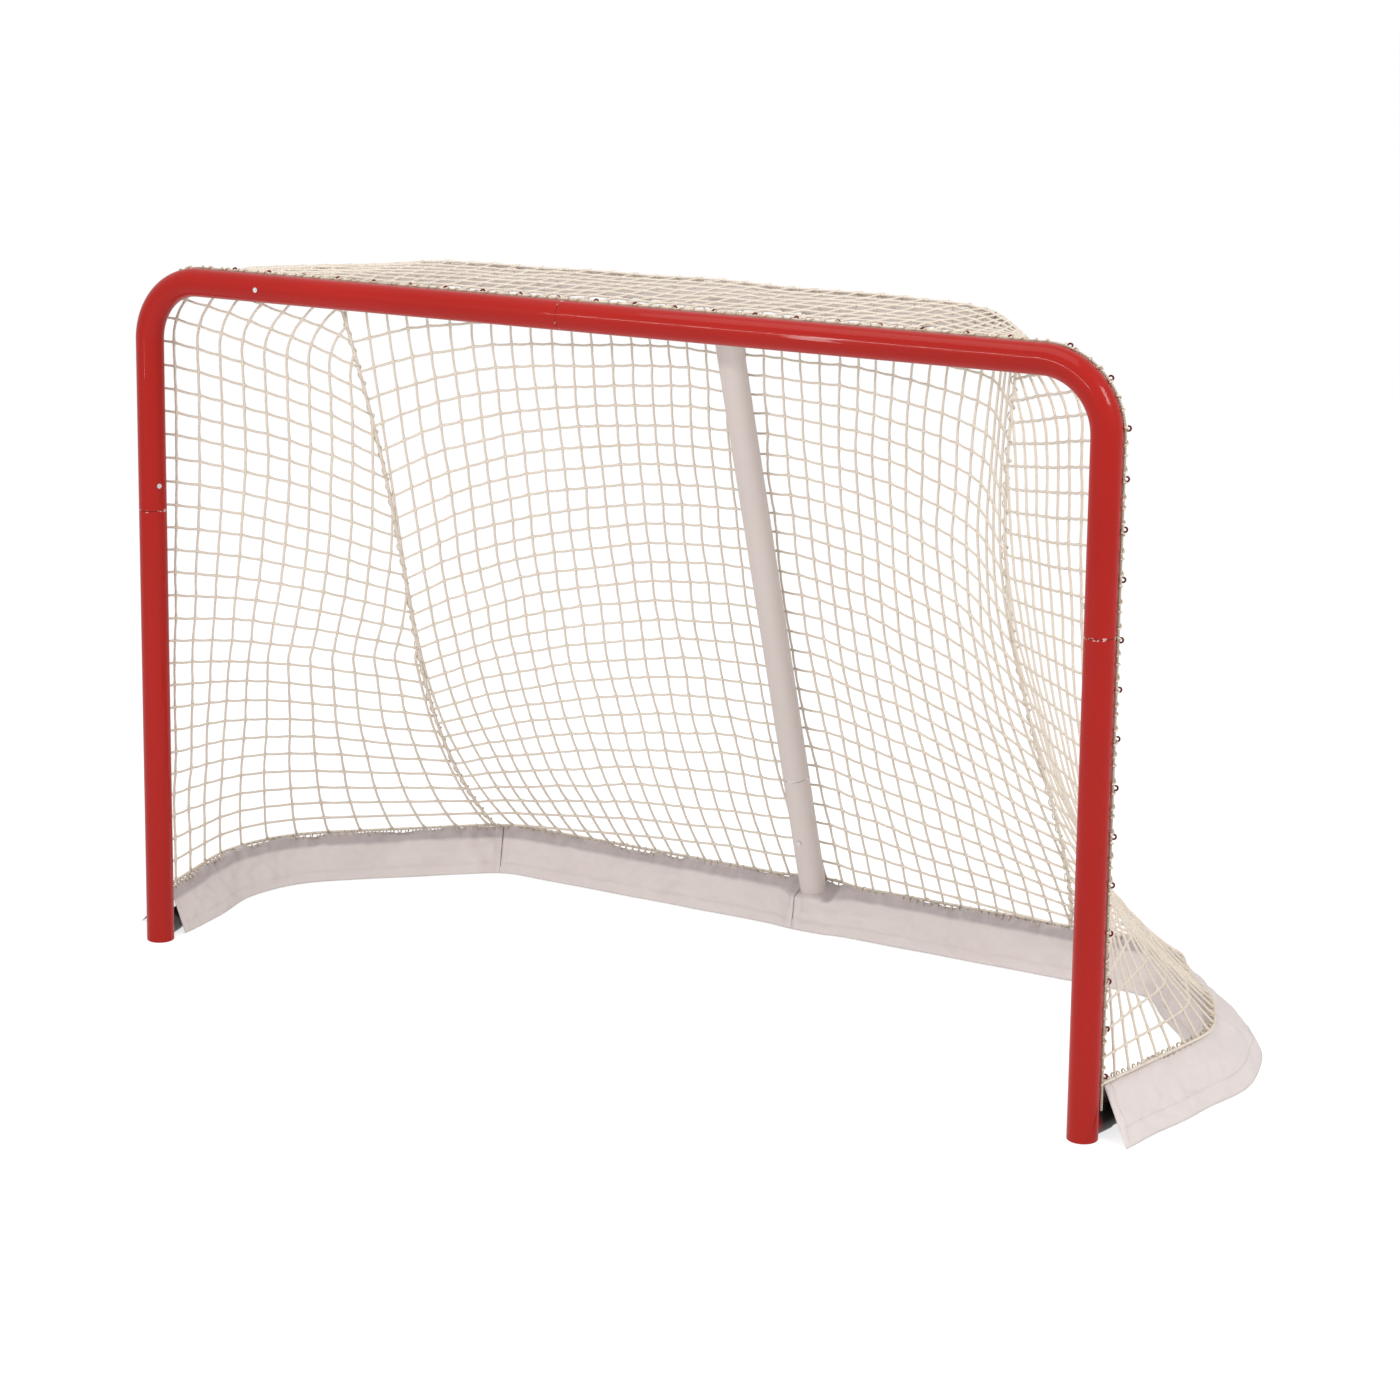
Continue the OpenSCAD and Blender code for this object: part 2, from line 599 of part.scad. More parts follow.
frame_edge_r = corner_r + edge_out;
frame_edge_run = bar_z - corner_r;
function frame_edge_path(side) =
    [[side * (post_x + edge_out), 0], [side * (post_x + edge_out), bar_z + edge_out], [0, bar_z + edge_out]];
frame_edge_left = path_table(frame_edge_path(-1), [0, frame_edge_r, 0]);
frame_edge_right = path_table(frame_edge_path(1), [0, frame_edge_r, 0]);
shelf_edge = path_table(moved(shelf_path, shelf_wrap), moved_r(shelf_path, shelf_radii, shelf_wrap));
shelf_crest = path_table(moved(shelf_path, crest_out), moved_r(shelf_path, shelf_radii, crest_out));
function foot_edge_table(side) =
    let (p = skirt_path(side), n = -side * ridge_out) path_table(moved(p, n), moved_r(p, base_radii, n));
foot_edge_left = foot_edge_table(-1);
foot_edge_right = foot_edge_table(1);
function foot_edge(side) = side < 0 ? foot_edge_left : foot_edge_right;

seam_gap = soft_gap;
function seam_foot_x(side) = base_half_w - (side < 0 ? seam_foot_left : seam_foot_right);
function seam_foot_s(side) = length_of(foot_edge(side)) - (seam_foot_x(side) - side * skirt_meet_x);
// The slack sags most below the middle of the net, and its foot swells out where its waist draws in
sag_low = 0.8;
swell_low = 0.75;
function from_foot(v, low) = pow(max(v, 0), low);
function seam_bow(side, v) =
    [side * seam_swell * sin(360 * from_foot(v, swell_low)),
     -(side < 0 ? seam_sag_left : seam_sag_right) * sin(180 * from_foot(v, sag_low)), 0];
// A seam from the foot of the net to the shelf; away moves it along both, away from the middle
function seam_point(side, v, away) =
    let (foot = at_s(foot_edge(side), seam_foot_s(side) - away),
         s = seam_top_s - away,
         top = at_s(shelf_edge, side < 0 ? s : length_of(shelf_edge) - s))
    lerp(flat3(foot, net_foot_z), flat3(top, shelf_z), v) + seam_bow(side, v);

// The sheet between four edges: the straight sheet between two of them, drawn out to meet the
// others. The pull of its foot and its top fades by the fourth power of the distance.
edge_fade = 4;
function sheet_point(u, v, front, rear, foot, top) =
    lerp(front(v), rear(v), u)
    + (foot(u) - lerp(foot(0), foot(1), u)) * pow(max(1 - v, 0), edge_fade)
    + (top(u) - lerp(top(0), top(1), u)) * pow(max(v, 0), edge_fade);

side_top_in = 15;
function side_net_point(side, u, v) =
    let (start_x = shelf_root_x + side_top_in,
         run = PI / 2 * frame_edge_r + frame_edge_run + bar_straight_x - start_x,
         edge = side < 0 ? frame_edge_left : frame_edge_right,
         front = function (t) let (q = at_s(edge, lerp(net_foot_z, run, t))) [q[0], edge_back, q[1]],
         rear = function (t) seam_point(side, t, seam_gap),
         foot = function (t) flat3(at_s(foot_edge(side), lerp(edge_back, seam_foot_s(side), t)), net_foot_z),
         top = function (t)
             let (s = lerp(edge_back, seam_top_s, t))
             flat3(at_s(shelf_edge, side < 0 ? s : length_of(shelf_edge) - s), shelf_z))
    sheet_point(u, v, front, rear, foot, top)
        - [side * side_sag, 0, 0] * sin(180 * v) * sin(180 * u);

function back_net_point(u, v) =
    let (left = seam_foot_x(-1) + skirt_meet_x - seam_gap,
         right = seam_foot_x(1) - skirt_meet_x - seam_gap,
         d = lerp(-left, right, u),
         side = d < 0 ? -1 : 1,
         near_seam = abs(d) / (d < 0 ? left : right),
         edge = at_s(foot_edge(side), length_of(foot_edge(side)) - abs(d)),
         bypass = (prop_bypass_out - ridge_out) * near_prop(d + skirt_meet_x - prop_foot_x),
         foot = edge + [0, bypass],
         top = at_s(shelf_edge, lerp(seam_top_s + seam_gap, length_of(shelf_edge) - seam_top_s - seam_gap, u)),
         bow = seam_bow(side, v))
    lerp(flat3(foot, net_foot_z), flat3(top, shelf_z), v)
        + [bow[0] * near_seam, bow[1] * (1 - cos(180 * near_seam)) / 2, 0];

top_front_in = 12;
rim_up = net_t / 2 + soft_gap;
function top_net_point(u, v) =
    let (s = lerp(top_start_s, length_of(shelf_edge) - top_start_s, u),
         front_x = shelf_root_x - top_front_in,
         front = [lerp(-front_x, front_x, u), edge_back, bar_z + edge_out],
         crest = flat3(at_s(shelf_crest, lerp(top_start_s, length_of(shelf_crest) - top_start_s, u)),
                       shelf_z + crest_up),
         rim = flat3(at_s(shelf_edge, s), shelf_z + rim_up),
         fold = 1 - 1 / top_rows)
    v < fold ? lerp(front, crest, v / fold) : lerp(crest, rim, (v - fold) / (1 - fold));

// ---- skirt: cloth folded over the base tube, with an outer and an inner flap ----
skirt_stations = 26;
tuck_run = 150;
tuck_in = 18;
prop_fold_room = 24;
prop_hem_room = 7;
function skirt_profile(side, s, start) =
    // The flaps are tucked in at a post. At the centre post the inner one goes round its front.
    let (tuck = start < 1 ? max(0, 1 - s / tuck_run) : 0,
         by_prop = near_prop(length_of(base_table(side)) - s - side * (prop_foot_x - skirt_meet_x)),
         wave = hem_wave * (1 - cos(360 * s / hem_wave_len)) / 2,
         c = cloth_t,
         o = hem_out - wave,
         r = lerp(ridge_out, prop_bypass_out, by_prop),
         i = lerp(hem_in - tuck_in * tuck - wave * 0.4, hem_in + prop_hem_room, by_prop),
         f = lerp(fold_in, prop_r + prop_fold_room, by_prop))
    [[o, 0], [r + c * 0.4, skirt_h], [-f, fold_z], [-i, 0],
     [c * 1.3 - i, 0], [c - f, fold_z - c * 1.1], [r - c * 0.6, skirt_h - c * 2.2], [o - c * 1.3, 0]];
// Where each point of the profile starts at a post, as a distance along the tube
function skirt_starts(side) =
    let (hem = side < 0 ? hem_start_left : hem_start_right)
    [hem, ridge_start, flap_start, flap_start, flap_start, flap_start, ridge_start, hem];
function skirt_ring(side, k, from, to) =
    [for (j = [0 : 7])
        let (first = from < 1 ? skirt_starts(side)[j] : from,
             s = lerp(first, to, k / skirt_stations),
             q = skirt_profile(side, s, from)[j],
             p = at_s(base_table(side), s),
             near = at_s(base_table(side), s - 1),
             far = at_s(base_table(side), s + 1),
             out = left_of(unit(far - near)) * -side)
        flat3(p + out * q[0], q[1])];
module skirt_panel(side, from, to) {
    rings = [for (k = [0 : skirt_stations]) skirt_ring(side, k, from, to)];
    n = 8;
    points = [for (r = rings) each r];
    flip = side < 0;
    faces = [
        for (k = [0 : skirt_stations - 1], j = [0 : n - 1])
            each quad(k * n + j, k * n + (j + 1) % n, (k + 1) * n + (j + 1) % n, (k + 1) * n + j),
        for (j = [0 : 2]) each quad(7 - j, 6 - j, j + 1, j),
        for (j = [0 : 2]) let (e = skirt_stations * n) each quad(e + j, e + j + 1, e + 6 - j, e + 7 - j)];
    polyhedron(points, flip ? [for (f = faces) [f[2], f[1], f[0]]] : faces);
}
skirt_seam_x = base_half_w - skirt_seam_in;
function skirt_seam_s(side) = length_of(base_table(side)) - (skirt_seam_x - side * skirt_meet_x);
module side_skirt(side) { skirt_panel(side, 0, skirt_seam_s(side) - soft_gap / 2); }
prop_cloth_gap = 3;
module rear_skirt(side) {
    difference() {
        skirt_panel(side, skirt_seam_s(side) + soft_gap / 2, length_of(base_table(side)) - soft_gap / 2);
        rod(prop_at(base_z - prop_d), prop_at(skirt_h + prop_d), prop_d + 2 * prop_cloth_gap);
    }
}

// ---- sub-parts ----
module crossbar_left() placed() color(red) corner_tube(-1);
module crossbar_right() placed() color(red) corner_tube(1);
module post_left() placed() color(red) lower_post(-1);
module post_right() placed() color(red) lower_post(1);
module crossbar_sleeve() placed() color(zinc)
    rod_tube([bar_joint_x - sleeve_len / 2, 0, bar_z], [bar_joint_x + sleeve_len / 2, 0, bar_z],
             sleeve_d, frame_wall);
module post_sleeve_left() placed() color(zinc) post_sleeve(-1);
module post_sleeve_right() placed() color(zinc) post_sleeve(1);
module foot_cap_left() placed() color(red) foot_cap(-1);
module foot_cap_right() placed() color(red) foot_cap(1);
module shelf_socket_left() placed() color(red) shelf_socket(-1);
module shelf_socket_right() placed() color(red) shelf_socket(1);
module shelf_left() placed() color(pale_grey) shelf_half(-1);
module shelf_right() placed() color(pale_grey) shelf_half(1);
module base_socket_left() placed() color(red) base_socket(-1);
module base_socket_right() placed() color(red) base_socket(1);
module base_left() placed() color(black) base_half(-1);
module base_right() placed() color(black) base_half(1);
module post_joint_screws() placed() color(zinc)
    for (side = [-1, 1]) screw(post_screw_at(side), post_screw_dir(side), post_screw_reach - 1);
module crossbar_screw() placed() color(zinc) screw(bar_screw_at, [0, -1, 0], bar_screw_reach - 1);
module centre_post_screw() placed() color(zinc) screw(prop_screw_at, prop_front, prop_screw_reach - 1);
module net_top() placed() color(cream) lattice(function (u, v) top_net_point(u, v), top_cols, top_rows);
module net_back() placed() color(cream) lattice(function (u, v) back_net_point(u, v), back_cols, net_rows);
module net_left() placed() color(cream)
    lattice(function (u, v) side_net_point(-1, u, v), side_cols, net_rows);
module net_right() placed() color(cream)
    lattice(function (u, v) side_net_point(1, 1 - u, v), side_cols, net_rows);
module skirt_left() placed() color(cloth_white) side_skirt(-1);
module skirt_right() placed() color(cloth_white) side_skirt(1);
module skirt_back_left() placed() color(cloth_white) rear_skirt(-1);
module skirt_back_right() placed() color(cloth_white) rear_skirt(1);

crossbar_left();
crossbar_right();
post_left();
post_right();
crossbar_sleeve();
post_sleeve_left();
post_sleeve_right();
foot_cap_left();
foot_cap_right();
shelf_socket_left();
shelf_socket_right();
shelf_left();
shelf_right();
shelf_sleeve();
base_socket_left();
base_socket_right();
base_left();
base_right();
base_sleeve();
centre_post_upper();
centre_post_lower();
centre_post_sleeve();
crossbar_hooks();
post_hooks_left();
post_hooks_right();
frame_lacing();
post_joint_screws();
crossbar_screw();
centre_post_screw();
net_top();
net_back();
net_left();
net_right();
skirt_left();
skirt_back_left();
skirt_back_right();
skirt_right();
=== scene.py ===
import json
import bpy
import numpy as np
from mathutils import Matrix


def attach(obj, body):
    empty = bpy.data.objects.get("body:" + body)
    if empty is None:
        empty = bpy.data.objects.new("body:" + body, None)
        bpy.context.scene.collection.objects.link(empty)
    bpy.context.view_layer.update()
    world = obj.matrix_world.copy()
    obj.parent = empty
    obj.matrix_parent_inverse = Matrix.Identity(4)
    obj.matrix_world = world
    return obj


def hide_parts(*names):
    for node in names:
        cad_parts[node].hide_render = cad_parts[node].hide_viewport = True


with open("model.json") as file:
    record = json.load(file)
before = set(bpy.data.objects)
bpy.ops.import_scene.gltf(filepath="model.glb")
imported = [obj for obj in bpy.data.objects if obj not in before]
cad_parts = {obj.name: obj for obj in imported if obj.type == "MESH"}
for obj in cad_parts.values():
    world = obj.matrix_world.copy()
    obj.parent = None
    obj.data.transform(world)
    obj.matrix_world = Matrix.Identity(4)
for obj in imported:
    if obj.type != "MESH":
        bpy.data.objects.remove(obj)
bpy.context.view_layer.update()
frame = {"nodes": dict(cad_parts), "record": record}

# The goal's own sizes, in metres. Shapes are worked out from the goal line, then moved back by middleY.
goal = {
    "mouthWidth": 1.829, "mouthHeight": 1.219, "tube": 0.0508, "cornerRadius": 0.112,
    "middleY": 0.398525, "postJoint": 0.82, "barJoint": -0.05,
    "shelfCorners": [(-0.8, 0), (-0.56, 0.35), (-0.26, 0.404), (0.26, 0.404), (0.56, 0.35), (0.8, 0)],
    "shelfRadii": [0, 0.15, 1.4, 1.4, 0.15, 0], "shelfTube": 0.0381, "shelfSocket": 0.14,
    "baseDepth": 0.745, "baseHalfWidth": 1.006, "baseRadii": [0, 0.28, 0.15, 0],
    "flare": {-1: 14, 1: 10.5}, "slant": {-1: 47.5, 1: 41},
    "skirtMeet": 0.029, "propFoot": (0.055, 0.745, 0.02105), "propTop": (0.022, 0.404, 1.2444),
    "propRadius": 0.025, "propJoint": 0.31, "propBypass": 0.062, "propBypassOut": 0.021,
    "skirtHeight": 0.086, "ridgeOut": 0.003, "laceTurn": 60, "laceEnds": (0.085, 0.048), "gap": 0.0004,
}
postX = goal["mouthWidth"] / 2 + goal["tube"] / 2
barZ = goal["mouthHeight"] + goal["tube"] / 2


def headings(corners):
    step = np.diff(np.array(corners, float), axis=0)
    return step / np.linalg.norm(step, axis=1)[:, None]


def pathLine(corners, radii, steps=16):
    # Straight runs joined by round bends: a bend starts its radius times tan(half its turn)
    # before the corner, and its points turn about a centre one radius to the side
    p, h = np.array(corners, float), headings(corners)
    runs = [p[:1]]
    for i in range(1, len(p) - 1):
        turn = np.arctan2(h[i - 1, 0] * h[i, 1] - h[i - 1, 1] * h[i, 0], h[i - 1] @ h[i])
        start = p[i] - h[i - 1] * radii[i] * np.tan(abs(turn) / 2)
        arm = np.array([h[i - 1, 1], -h[i - 1, 0]]) * radii[i] * np.sign(turn)
        a = turn * np.linspace(0, 1, steps + 1)[:, None]
        runs.append(start - arm + arm * np.cos(a) + np.array([-arm[1], arm[0]]) * np.sin(a))
    line = np.concatenate(runs + [p[-1:]])
    lengths = np.linalg.norm(np.diff(line, axis=0), axis=1)
    return np.concatenate([[0], np.cumsum(lengths)]), line


def movedPath(corners, radii, n):
    # The same path moved sideways by n, to the left of its direction when n is positive
    p, h = np.array(corners, float), headings(corners)
    left = np.stack([-h[:, 1], h[:, 0]], 1)
    turn = h[:-1, 0] * h[1:, 1] - h[:-1, 1] * h[1:, 0]
    inner = p[1:-1] + (left[:-1] + left[1:]) * n / (1 + (h[:-1] * h[1:]).sum(1))[:, None]
    line = np.concatenate([p[:1] + left[:1] * n, inner, p[-1:] + left[-1:] * n])
    return pathLine(line, [0, *(np.array(radii[1:-1]) - np.sign(turn) * n), 0])


def along(path, s):
    return np.stack([np.interp(s, path[0], path[1][:, k]) for k in (0, 1)], -1)


def leftOf(path, s, reach=0.003):
    # The sideways direction of a path, from the points a little before and after s
    ahead = along(path, s + reach) - along(path, s - reach)
    ahead = ahead / np.linalg.norm(ahead, axis=-1, keepdims=True)
    return np.stack([-ahead[..., 1], ahead[..., 0]], -1)


def flat(xy, z):
    z = np.broadcast_to(np.asarray(z, float)[..., None], xy.shape[:-1] + (1,))
    return np.concatenate([xy, z], -1)


def lerp(a, b, t):
    return a * (1 - t) + b * t


def unit(v):
    return v / np.maximum(np.linalg.norm(v, axis=-1, keepdims=True), 1e-12)


def noise(shape, seed, size):
    # A smooth random field: random numbers, averaged with their neighbours size times along each axis
    size = size if isinstance(size, tuple) else (size,) * len(shape)
    field = np.random.default_rng(seed).standard_normal(shape)
    for axis, times in enumerate(size):
        for _ in range(times):
            padded = np.concatenate([field.take([0], axis), field, field.take([-1], axis)], axis)
            n = shape[axis]
            field = (padded.take(range(n), axis) + 2 * field + padded.take(range(2, n + 2), axis)) / 4
    return field / max(field.std(), 1e-9)


def makePiece(name, shape, material):
    # Puts a shape into a mesh. A shape is points, faces as arrays of one row per face, and uv.
    verts, faceSets, uv = shape
    mesh = bpy.data.meshes.new(name)
    verts = np.asarray(verts, float).reshape(-1, 3) - [0, goal["middleY"], 0]
    loops = np.concatenate([f.ravel() for f in faceSets]).astype(np.int32)
    totals = np.concatenate([np.full(len(f), f.shape[1]) for f in faceSets]).astype(np.int32)
    starts = np.concatenate([[0], np.cumsum(totals)[:-1]]).astype(np.int32)
    mesh.vertices.add(len(verts))
    mesh.vertices.foreach_set("co", verts.astype(np.float32).ravel())
    mesh.loops.add(len(loops))
    mesh.loops.foreach_set("vertex_index", loops)
    mesh.polygons.add(len(totals))
    mesh.polygons.foreach_set("loop_start", starts)
    mesh.polygons.foreach_set("loop_total", totals)
    mesh.polygons.foreach_set("use_smooth", np.ones(len(totals), bool))
    layer = mesh.uv_layers.new(name="UVMap")
    layer.data.foreach_set("uv", np.asarray(uv, np.float32)[loops].ravel())
    mesh.update()
    mesh.validate()
    mesh.materials.append(material)
    piece = bpy.data.objects.new(name, mesh)
    bpy.context.scene.collection.objects.link(piece)
    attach(piece, "root")
    print(name, int((totals - 2).sum()), "triangles")
    return piece


def tubes(points, radius, count=None, sides=6, normal=None):
    # Many tubes at once. points is lines x rings x 3. Each ring is a circle of the given radius, square
    # to the line and turned to face the normal, and count says how many rings of each line are used.
    lines, rings = points.shape[:2]
    count = np.full(lines, rings) if count is None else count
    radius = np.broadcast_to(np.asarray(radius, float), (lines, rings))
    last = np.minimum(np.arange(rings)[None] + 1, count[:, None] - 1)
    ahead = np.take_along_axis(points, last[..., None], 1)
    behind = np.concatenate([points[:, :1], points[:, :-1]], 1)
    tangent = unit(ahead - behind)
    if normal is None:
        normal = np.broadcast_to(np.array([0.31, 0.53, 0.79]), points.shape)  # any slanted direction
    side = unit(np.cross(tangent, normal))
    up = np.cross(side, tangent)
    turn = np.arange(sides) / sides * 2 * np.pi
    ring = side[:, :, None] * np.cos(turn)[:, None] + up[:, :, None] * np.sin(turn)[:, None]
    verts = points[:, :, None] + ring * radius[..., None, None]
    used = np.arange(rings)[None] < count[:, None]
    index = np.cumsum(used.ravel()).reshape(lines, rings) - 1
    a, b = index[:, :-1][used[:, 1:]], index[:, 1:][used[:, 1:]]
    k = np.arange(sides)
    k1 = (k + 1) % sides
    quads = np.stack([a[:, None] * sides + k, a[:, None] * sides + k1,
                      b[:, None] * sides + k1, b[:, None] * sides + k], -1).reshape(-1, 4)
    first, end = index[:, 0], np.take_along_axis(index, count[:, None] - 1, 1)[:, 0]
    caps = np.concatenate([first[:, None] * sides + k[::-1], end[:, None] * sides + k])
    step = np.linalg.norm(np.diff(points, axis=1), axis=2)
    length = np.concatenate([np.zeros((lines, 1)), np.cumsum(step, 1)], 1)
    uv = np.stack(np.broadcast_arrays((turn / (2 * np.pi))[None, None], length[..., None]), -1)
    return verts[used].reshape(-1, 3), [quads, caps], uv[used].reshape(-1, 2)


def joined(shapes):
    # Several shapes put together as one
    verts, faces, uvs, at = [], {}, [], 0
    for v, sets, uv in shapes:
        verts.append(v)
        uvs.append(uv)
        for f in sets:
            faces.setdefault(f.shape[1], []).append(f + at)
        at += len(v)
    return np.concatenate(verts), [np.concatenate(f) for f in faces.values()], np.concatenate(uvs)


def wound(centre, across, up, turns, wide, high, phase=0.0):
    # A lacing cord: a helix round a line, wide along across and high along up
    a = 2 * np.pi * turns + phase
    return centre + across * (np.cos(a) * wide)[..., None] + up * (np.sin(a) * high)[..., None]


class Socket:
    # One socket of a node tree; operators on it add Math nodes
    def __init__(self, tree, out=None):
        self.tree, self.out = tree, out

    def node(self, kind, settings=None, values=None, out=0):
        made = self.tree.nodes.new(kind)
        for key, value in (settings or {}).items():
            setattr(made, key, value)
        for key, value in (values or {}).items():
            if isinstance(value, Socket):
                self.tree.links.new(value.out, made.inputs[key])
            else:
                made.inputs[key].default_value = value
        return Socket(self.tree, made.outputs[out] if len(made.outputs) else None)

    def math(self, operation, a, b=0.0, clamp=False):
        return self.node("ShaderNodeMath", {"operation": operation, "use_clamp": clamp}, {0: a, 1: b})

    def __add__(self, other):
        return self.math("ADD", self, other)

    def __radd__(self, other):
        return self.math("ADD", other, self)

    def __sub__(self, other):
        return self.math("SUBTRACT", self, other)

    def __rsub__(self, other):
        return self.math("SUBTRACT", other, self)

    def __mul__(self, other):
        return self.math("MULTIPLY", self, other)

    def __rmul__(self, other):
        return self.math("MULTIPLY", other, self)

    def mix(self, colourA, colourB):
        # Blends two colours by this value
        a = colourA if isinstance(colourA, Socket) else (*colourA, 1)
        b = colourB if isinstance(colourB, Socket) else (*colourB, 1)
        settings = {"data_type": "RGBA", "clamp_factor": True}
        return self.node("ShaderNodeMix", settings, {0: self, 6: a, 7: b}, 2)


def srgb(r, g, b):
    # A colour picker's numbers as the linear ones that a shader takes
    c = np.array([r, g, b]) / 255
    return tuple(float(x) for x in np.where(c <= 0.04045, c / 12.92, ((c + 0.055) / 1.055) ** 2.4))


def finish(name, build, **fixed):
    # A Principled material: build(at) returns the sockets that change over the surface, fixed the rest
    material = bpy.data.materials.new(name)
    material.use_nodes = True
    material.node_tree.nodes.clear()
    at = Socket(material.node_tree)
    values = {key.replace("_", " "): value for key, value in fixed.items()}
    shader = at.node("ShaderNodeBsdfPrincipled", {}, {**values, **build(at)})
    at.node("ShaderNodeOutputMaterial", {}, {"Surface": shader})
    return material


def place(at, source="Object"):
    # Where on the piece: its own metres, or its UV map
    return at.node("ShaderNodeTexCoord", {}, {}, source)


def axis(where, name):
    return where.node("ShaderNodeSeparateXYZ", {}, {"Vector": where}, name)


def grain(at, scale, detail=3.0, roughness=0.5, stretch=None, source="Object"):
    where = place(at, source)
    if stretch:
        where = at.node("ShaderNodeMapping", {}, {"Vector": where, "Scale": stretch})
    settings = {"Vector": where, "Scale": scale, "Detail": detail, "Roughness": roughness}
    return at.node("ShaderNodeTexNoise", {}, settings)


def bump(at, height, distance):
    return at.node("ShaderNodeBump", {}, {"Height": height, "Distance": distance, "Strength": 1.0})


def jointLine(at, coordinate, where, half):
    # One within half a line's width of a joint, nought elsewhere
    return at.math("LESS_THAN", at.math("ABSOLUTE", coordinate - where), half)


# The pale spots beside the joints are painted highlights where the joint edges catch the light
enamel = {
    "peel": 0.00006, "rubbed": 0.62, "rubbedGloss": 0.12, "driftGloss": 0.05, "jointHalf": 0.0007,
    "glintHalf": 0.0026, "glintSpots": 0.6, "jointDark": srgb(70, 16, 14), "glintPale": srgb(206, 178, 168),
}


def tubePaint(main, deep, gloss, joints=None, peel=enamel["peel"], dark=enamel["jointDark"],
              glint=enamel["glintPale"]):
    # Sprayed enamel: slow drift of tone, orange-peel bump, faint rubbed patches, and at the joints
    # fine dark lines with pale spots beside them, painted highlights on the joint edges
    def build(at):
        drift, skin, rub = grain(at, 3.0), grain(at, 260.0, 2.0), grain(at, 24.0, 6.0, 0.65)
        worn = at.math("MULTIPLY", at.math("SUBTRACT", rub, enamel["rubbed"], True), 4.0, True)
        colour = drift.mix(deep, main)
        if joints:
            colour = (joints(at, enamel["jointHalf"]) * 0.8).mix(colour, dark)
            # Painted highlights: pale spots beside the joint line
            glinting = at.math("GREATER_THAN", grain(at, 130.0, 2.0), enamel["glintSpots"])
            colour = (joints(at, enamel["glintHalf"]) * glinting * 0.8).mix(colour, glint)
        rough = gloss + worn * enamel["rubbedGloss"] + drift * enamel["driftGloss"]
        return {"Base Color": colour, "Roughness": rough, "Normal": bump(at, skin + rub * 0.4, peel)}
    return build


def frameJoints(at, half):
    # The posts part at one height, and the crossbar at one place along its length
    x, z = axis(place(at), "X"), axis(place(at), "Z")
    onBar = at.math("GREATER_THAN", z, 1.15)  # the straight posts end below it
    bar = jointLine(at, x, goal["barJoint"], half) * onBar
    return at.math("MAXIMUM", jointLine(at, z, goal["postJoint"], half), bar)


def propJoint(at, half):
    # The centre post parts square to its own line: the distance along it is a dot product
    foot, top = np.array(goal["propFoot"]), np.array(goal["propTop"])
    lean = unit(top - foot)
    joint = foot + lean * (goal["propJoint"] - foot[2]) / lean[2] - [0, goal["middleY"], 0]
    values = {0: place(at), 1: tuple(lean)}
    distance = at.node("ShaderNodeVectorMath", {"operation": "DOT_PRODUCT"}, values, "Value")
    return jointLine(at, distance, float(joint @ lean), half)


redPaint = finish(
    "redEnamel", tubePaint(srgb(171, 29, 21), srgb(154, 22, 15), 0.34, frameJoints),
    Coat_Weight=0.24, Coat_Roughness=0.04, Specular_IOR_Level=0.06)
hookPaint = finish(
    "hookEnamel", tubePaint(srgb(110, 20, 20), srgb(82, 14, 15), 0.3, None, 0.0001),
    Coat_Weight=0.05, Coat_Roughness=0.15, Specular_IOR_Level=0.15)
# The centre post's joint has a dark line, with pale painted highlights beside it
palePaint = finish(
    "paleEnamel", tubePaint(srgb(213, 202, 197), srgb(202, 191, 186), 0.42, propJoint,
                            dark=srgb(120, 112, 110), glint=srgb(236, 230, 228)),
    Specular_IOR_Level=0.3)
blackPaint = finish(
    "blackEnamel", tubePaint(srgb(34, 33, 35), srgb(24, 23, 25), 0.4), Specular_IOR_Level=0.35)

stub = {"blackFrom": 0.012, "sharp": 80.0}


def socketPaint(at):
    # The ground tube's stubs turn from a red darker than the post's, a painted shade, to the tube's
    # black
    behind = axis(place(at), "Y") + (goal["middleY"] - stub["blackFrom"])
    beyond = at.math("MULTIPLY", behind, stub["sharp"], True)
    drift, rub = grain(at, 3.0), grain(at, 24.0, 6.0, 0.65)
    # The stub's red is darker than the frame's as painted shade at the post's foot; the black is the
    # tube's own
    colour = beyond.mix(drift.mix(srgb(138, 17, 12), srgb(120, 14, 10)), srgb(30, 27, 28))
    return {"Base Color": colour, "Roughness": 0.34 + rub * 0.12, "Normal": bump(at, rub, 0.00008)}


stubPaint = finish("stubEnamel", socketPaint, Specular_IOR_Level=0.25)


def plating(at):
    # Screws and sleeves: streaks drawn along their length, and fine spots
    streak, spot = grain(at, 40.0, 4.0, 0.6, (1, 1, 12)), grain(at, 400.0)
    return {"Base Color": streak.mix(srgb(188, 190, 192), srgb(214, 215, 216)),
            "Roughness": 0.26 + streak * 0.2, "Normal": bump(at, spot, 0.00003)}


zinc = finish("zincPlate", plating, Metallic=0.9)


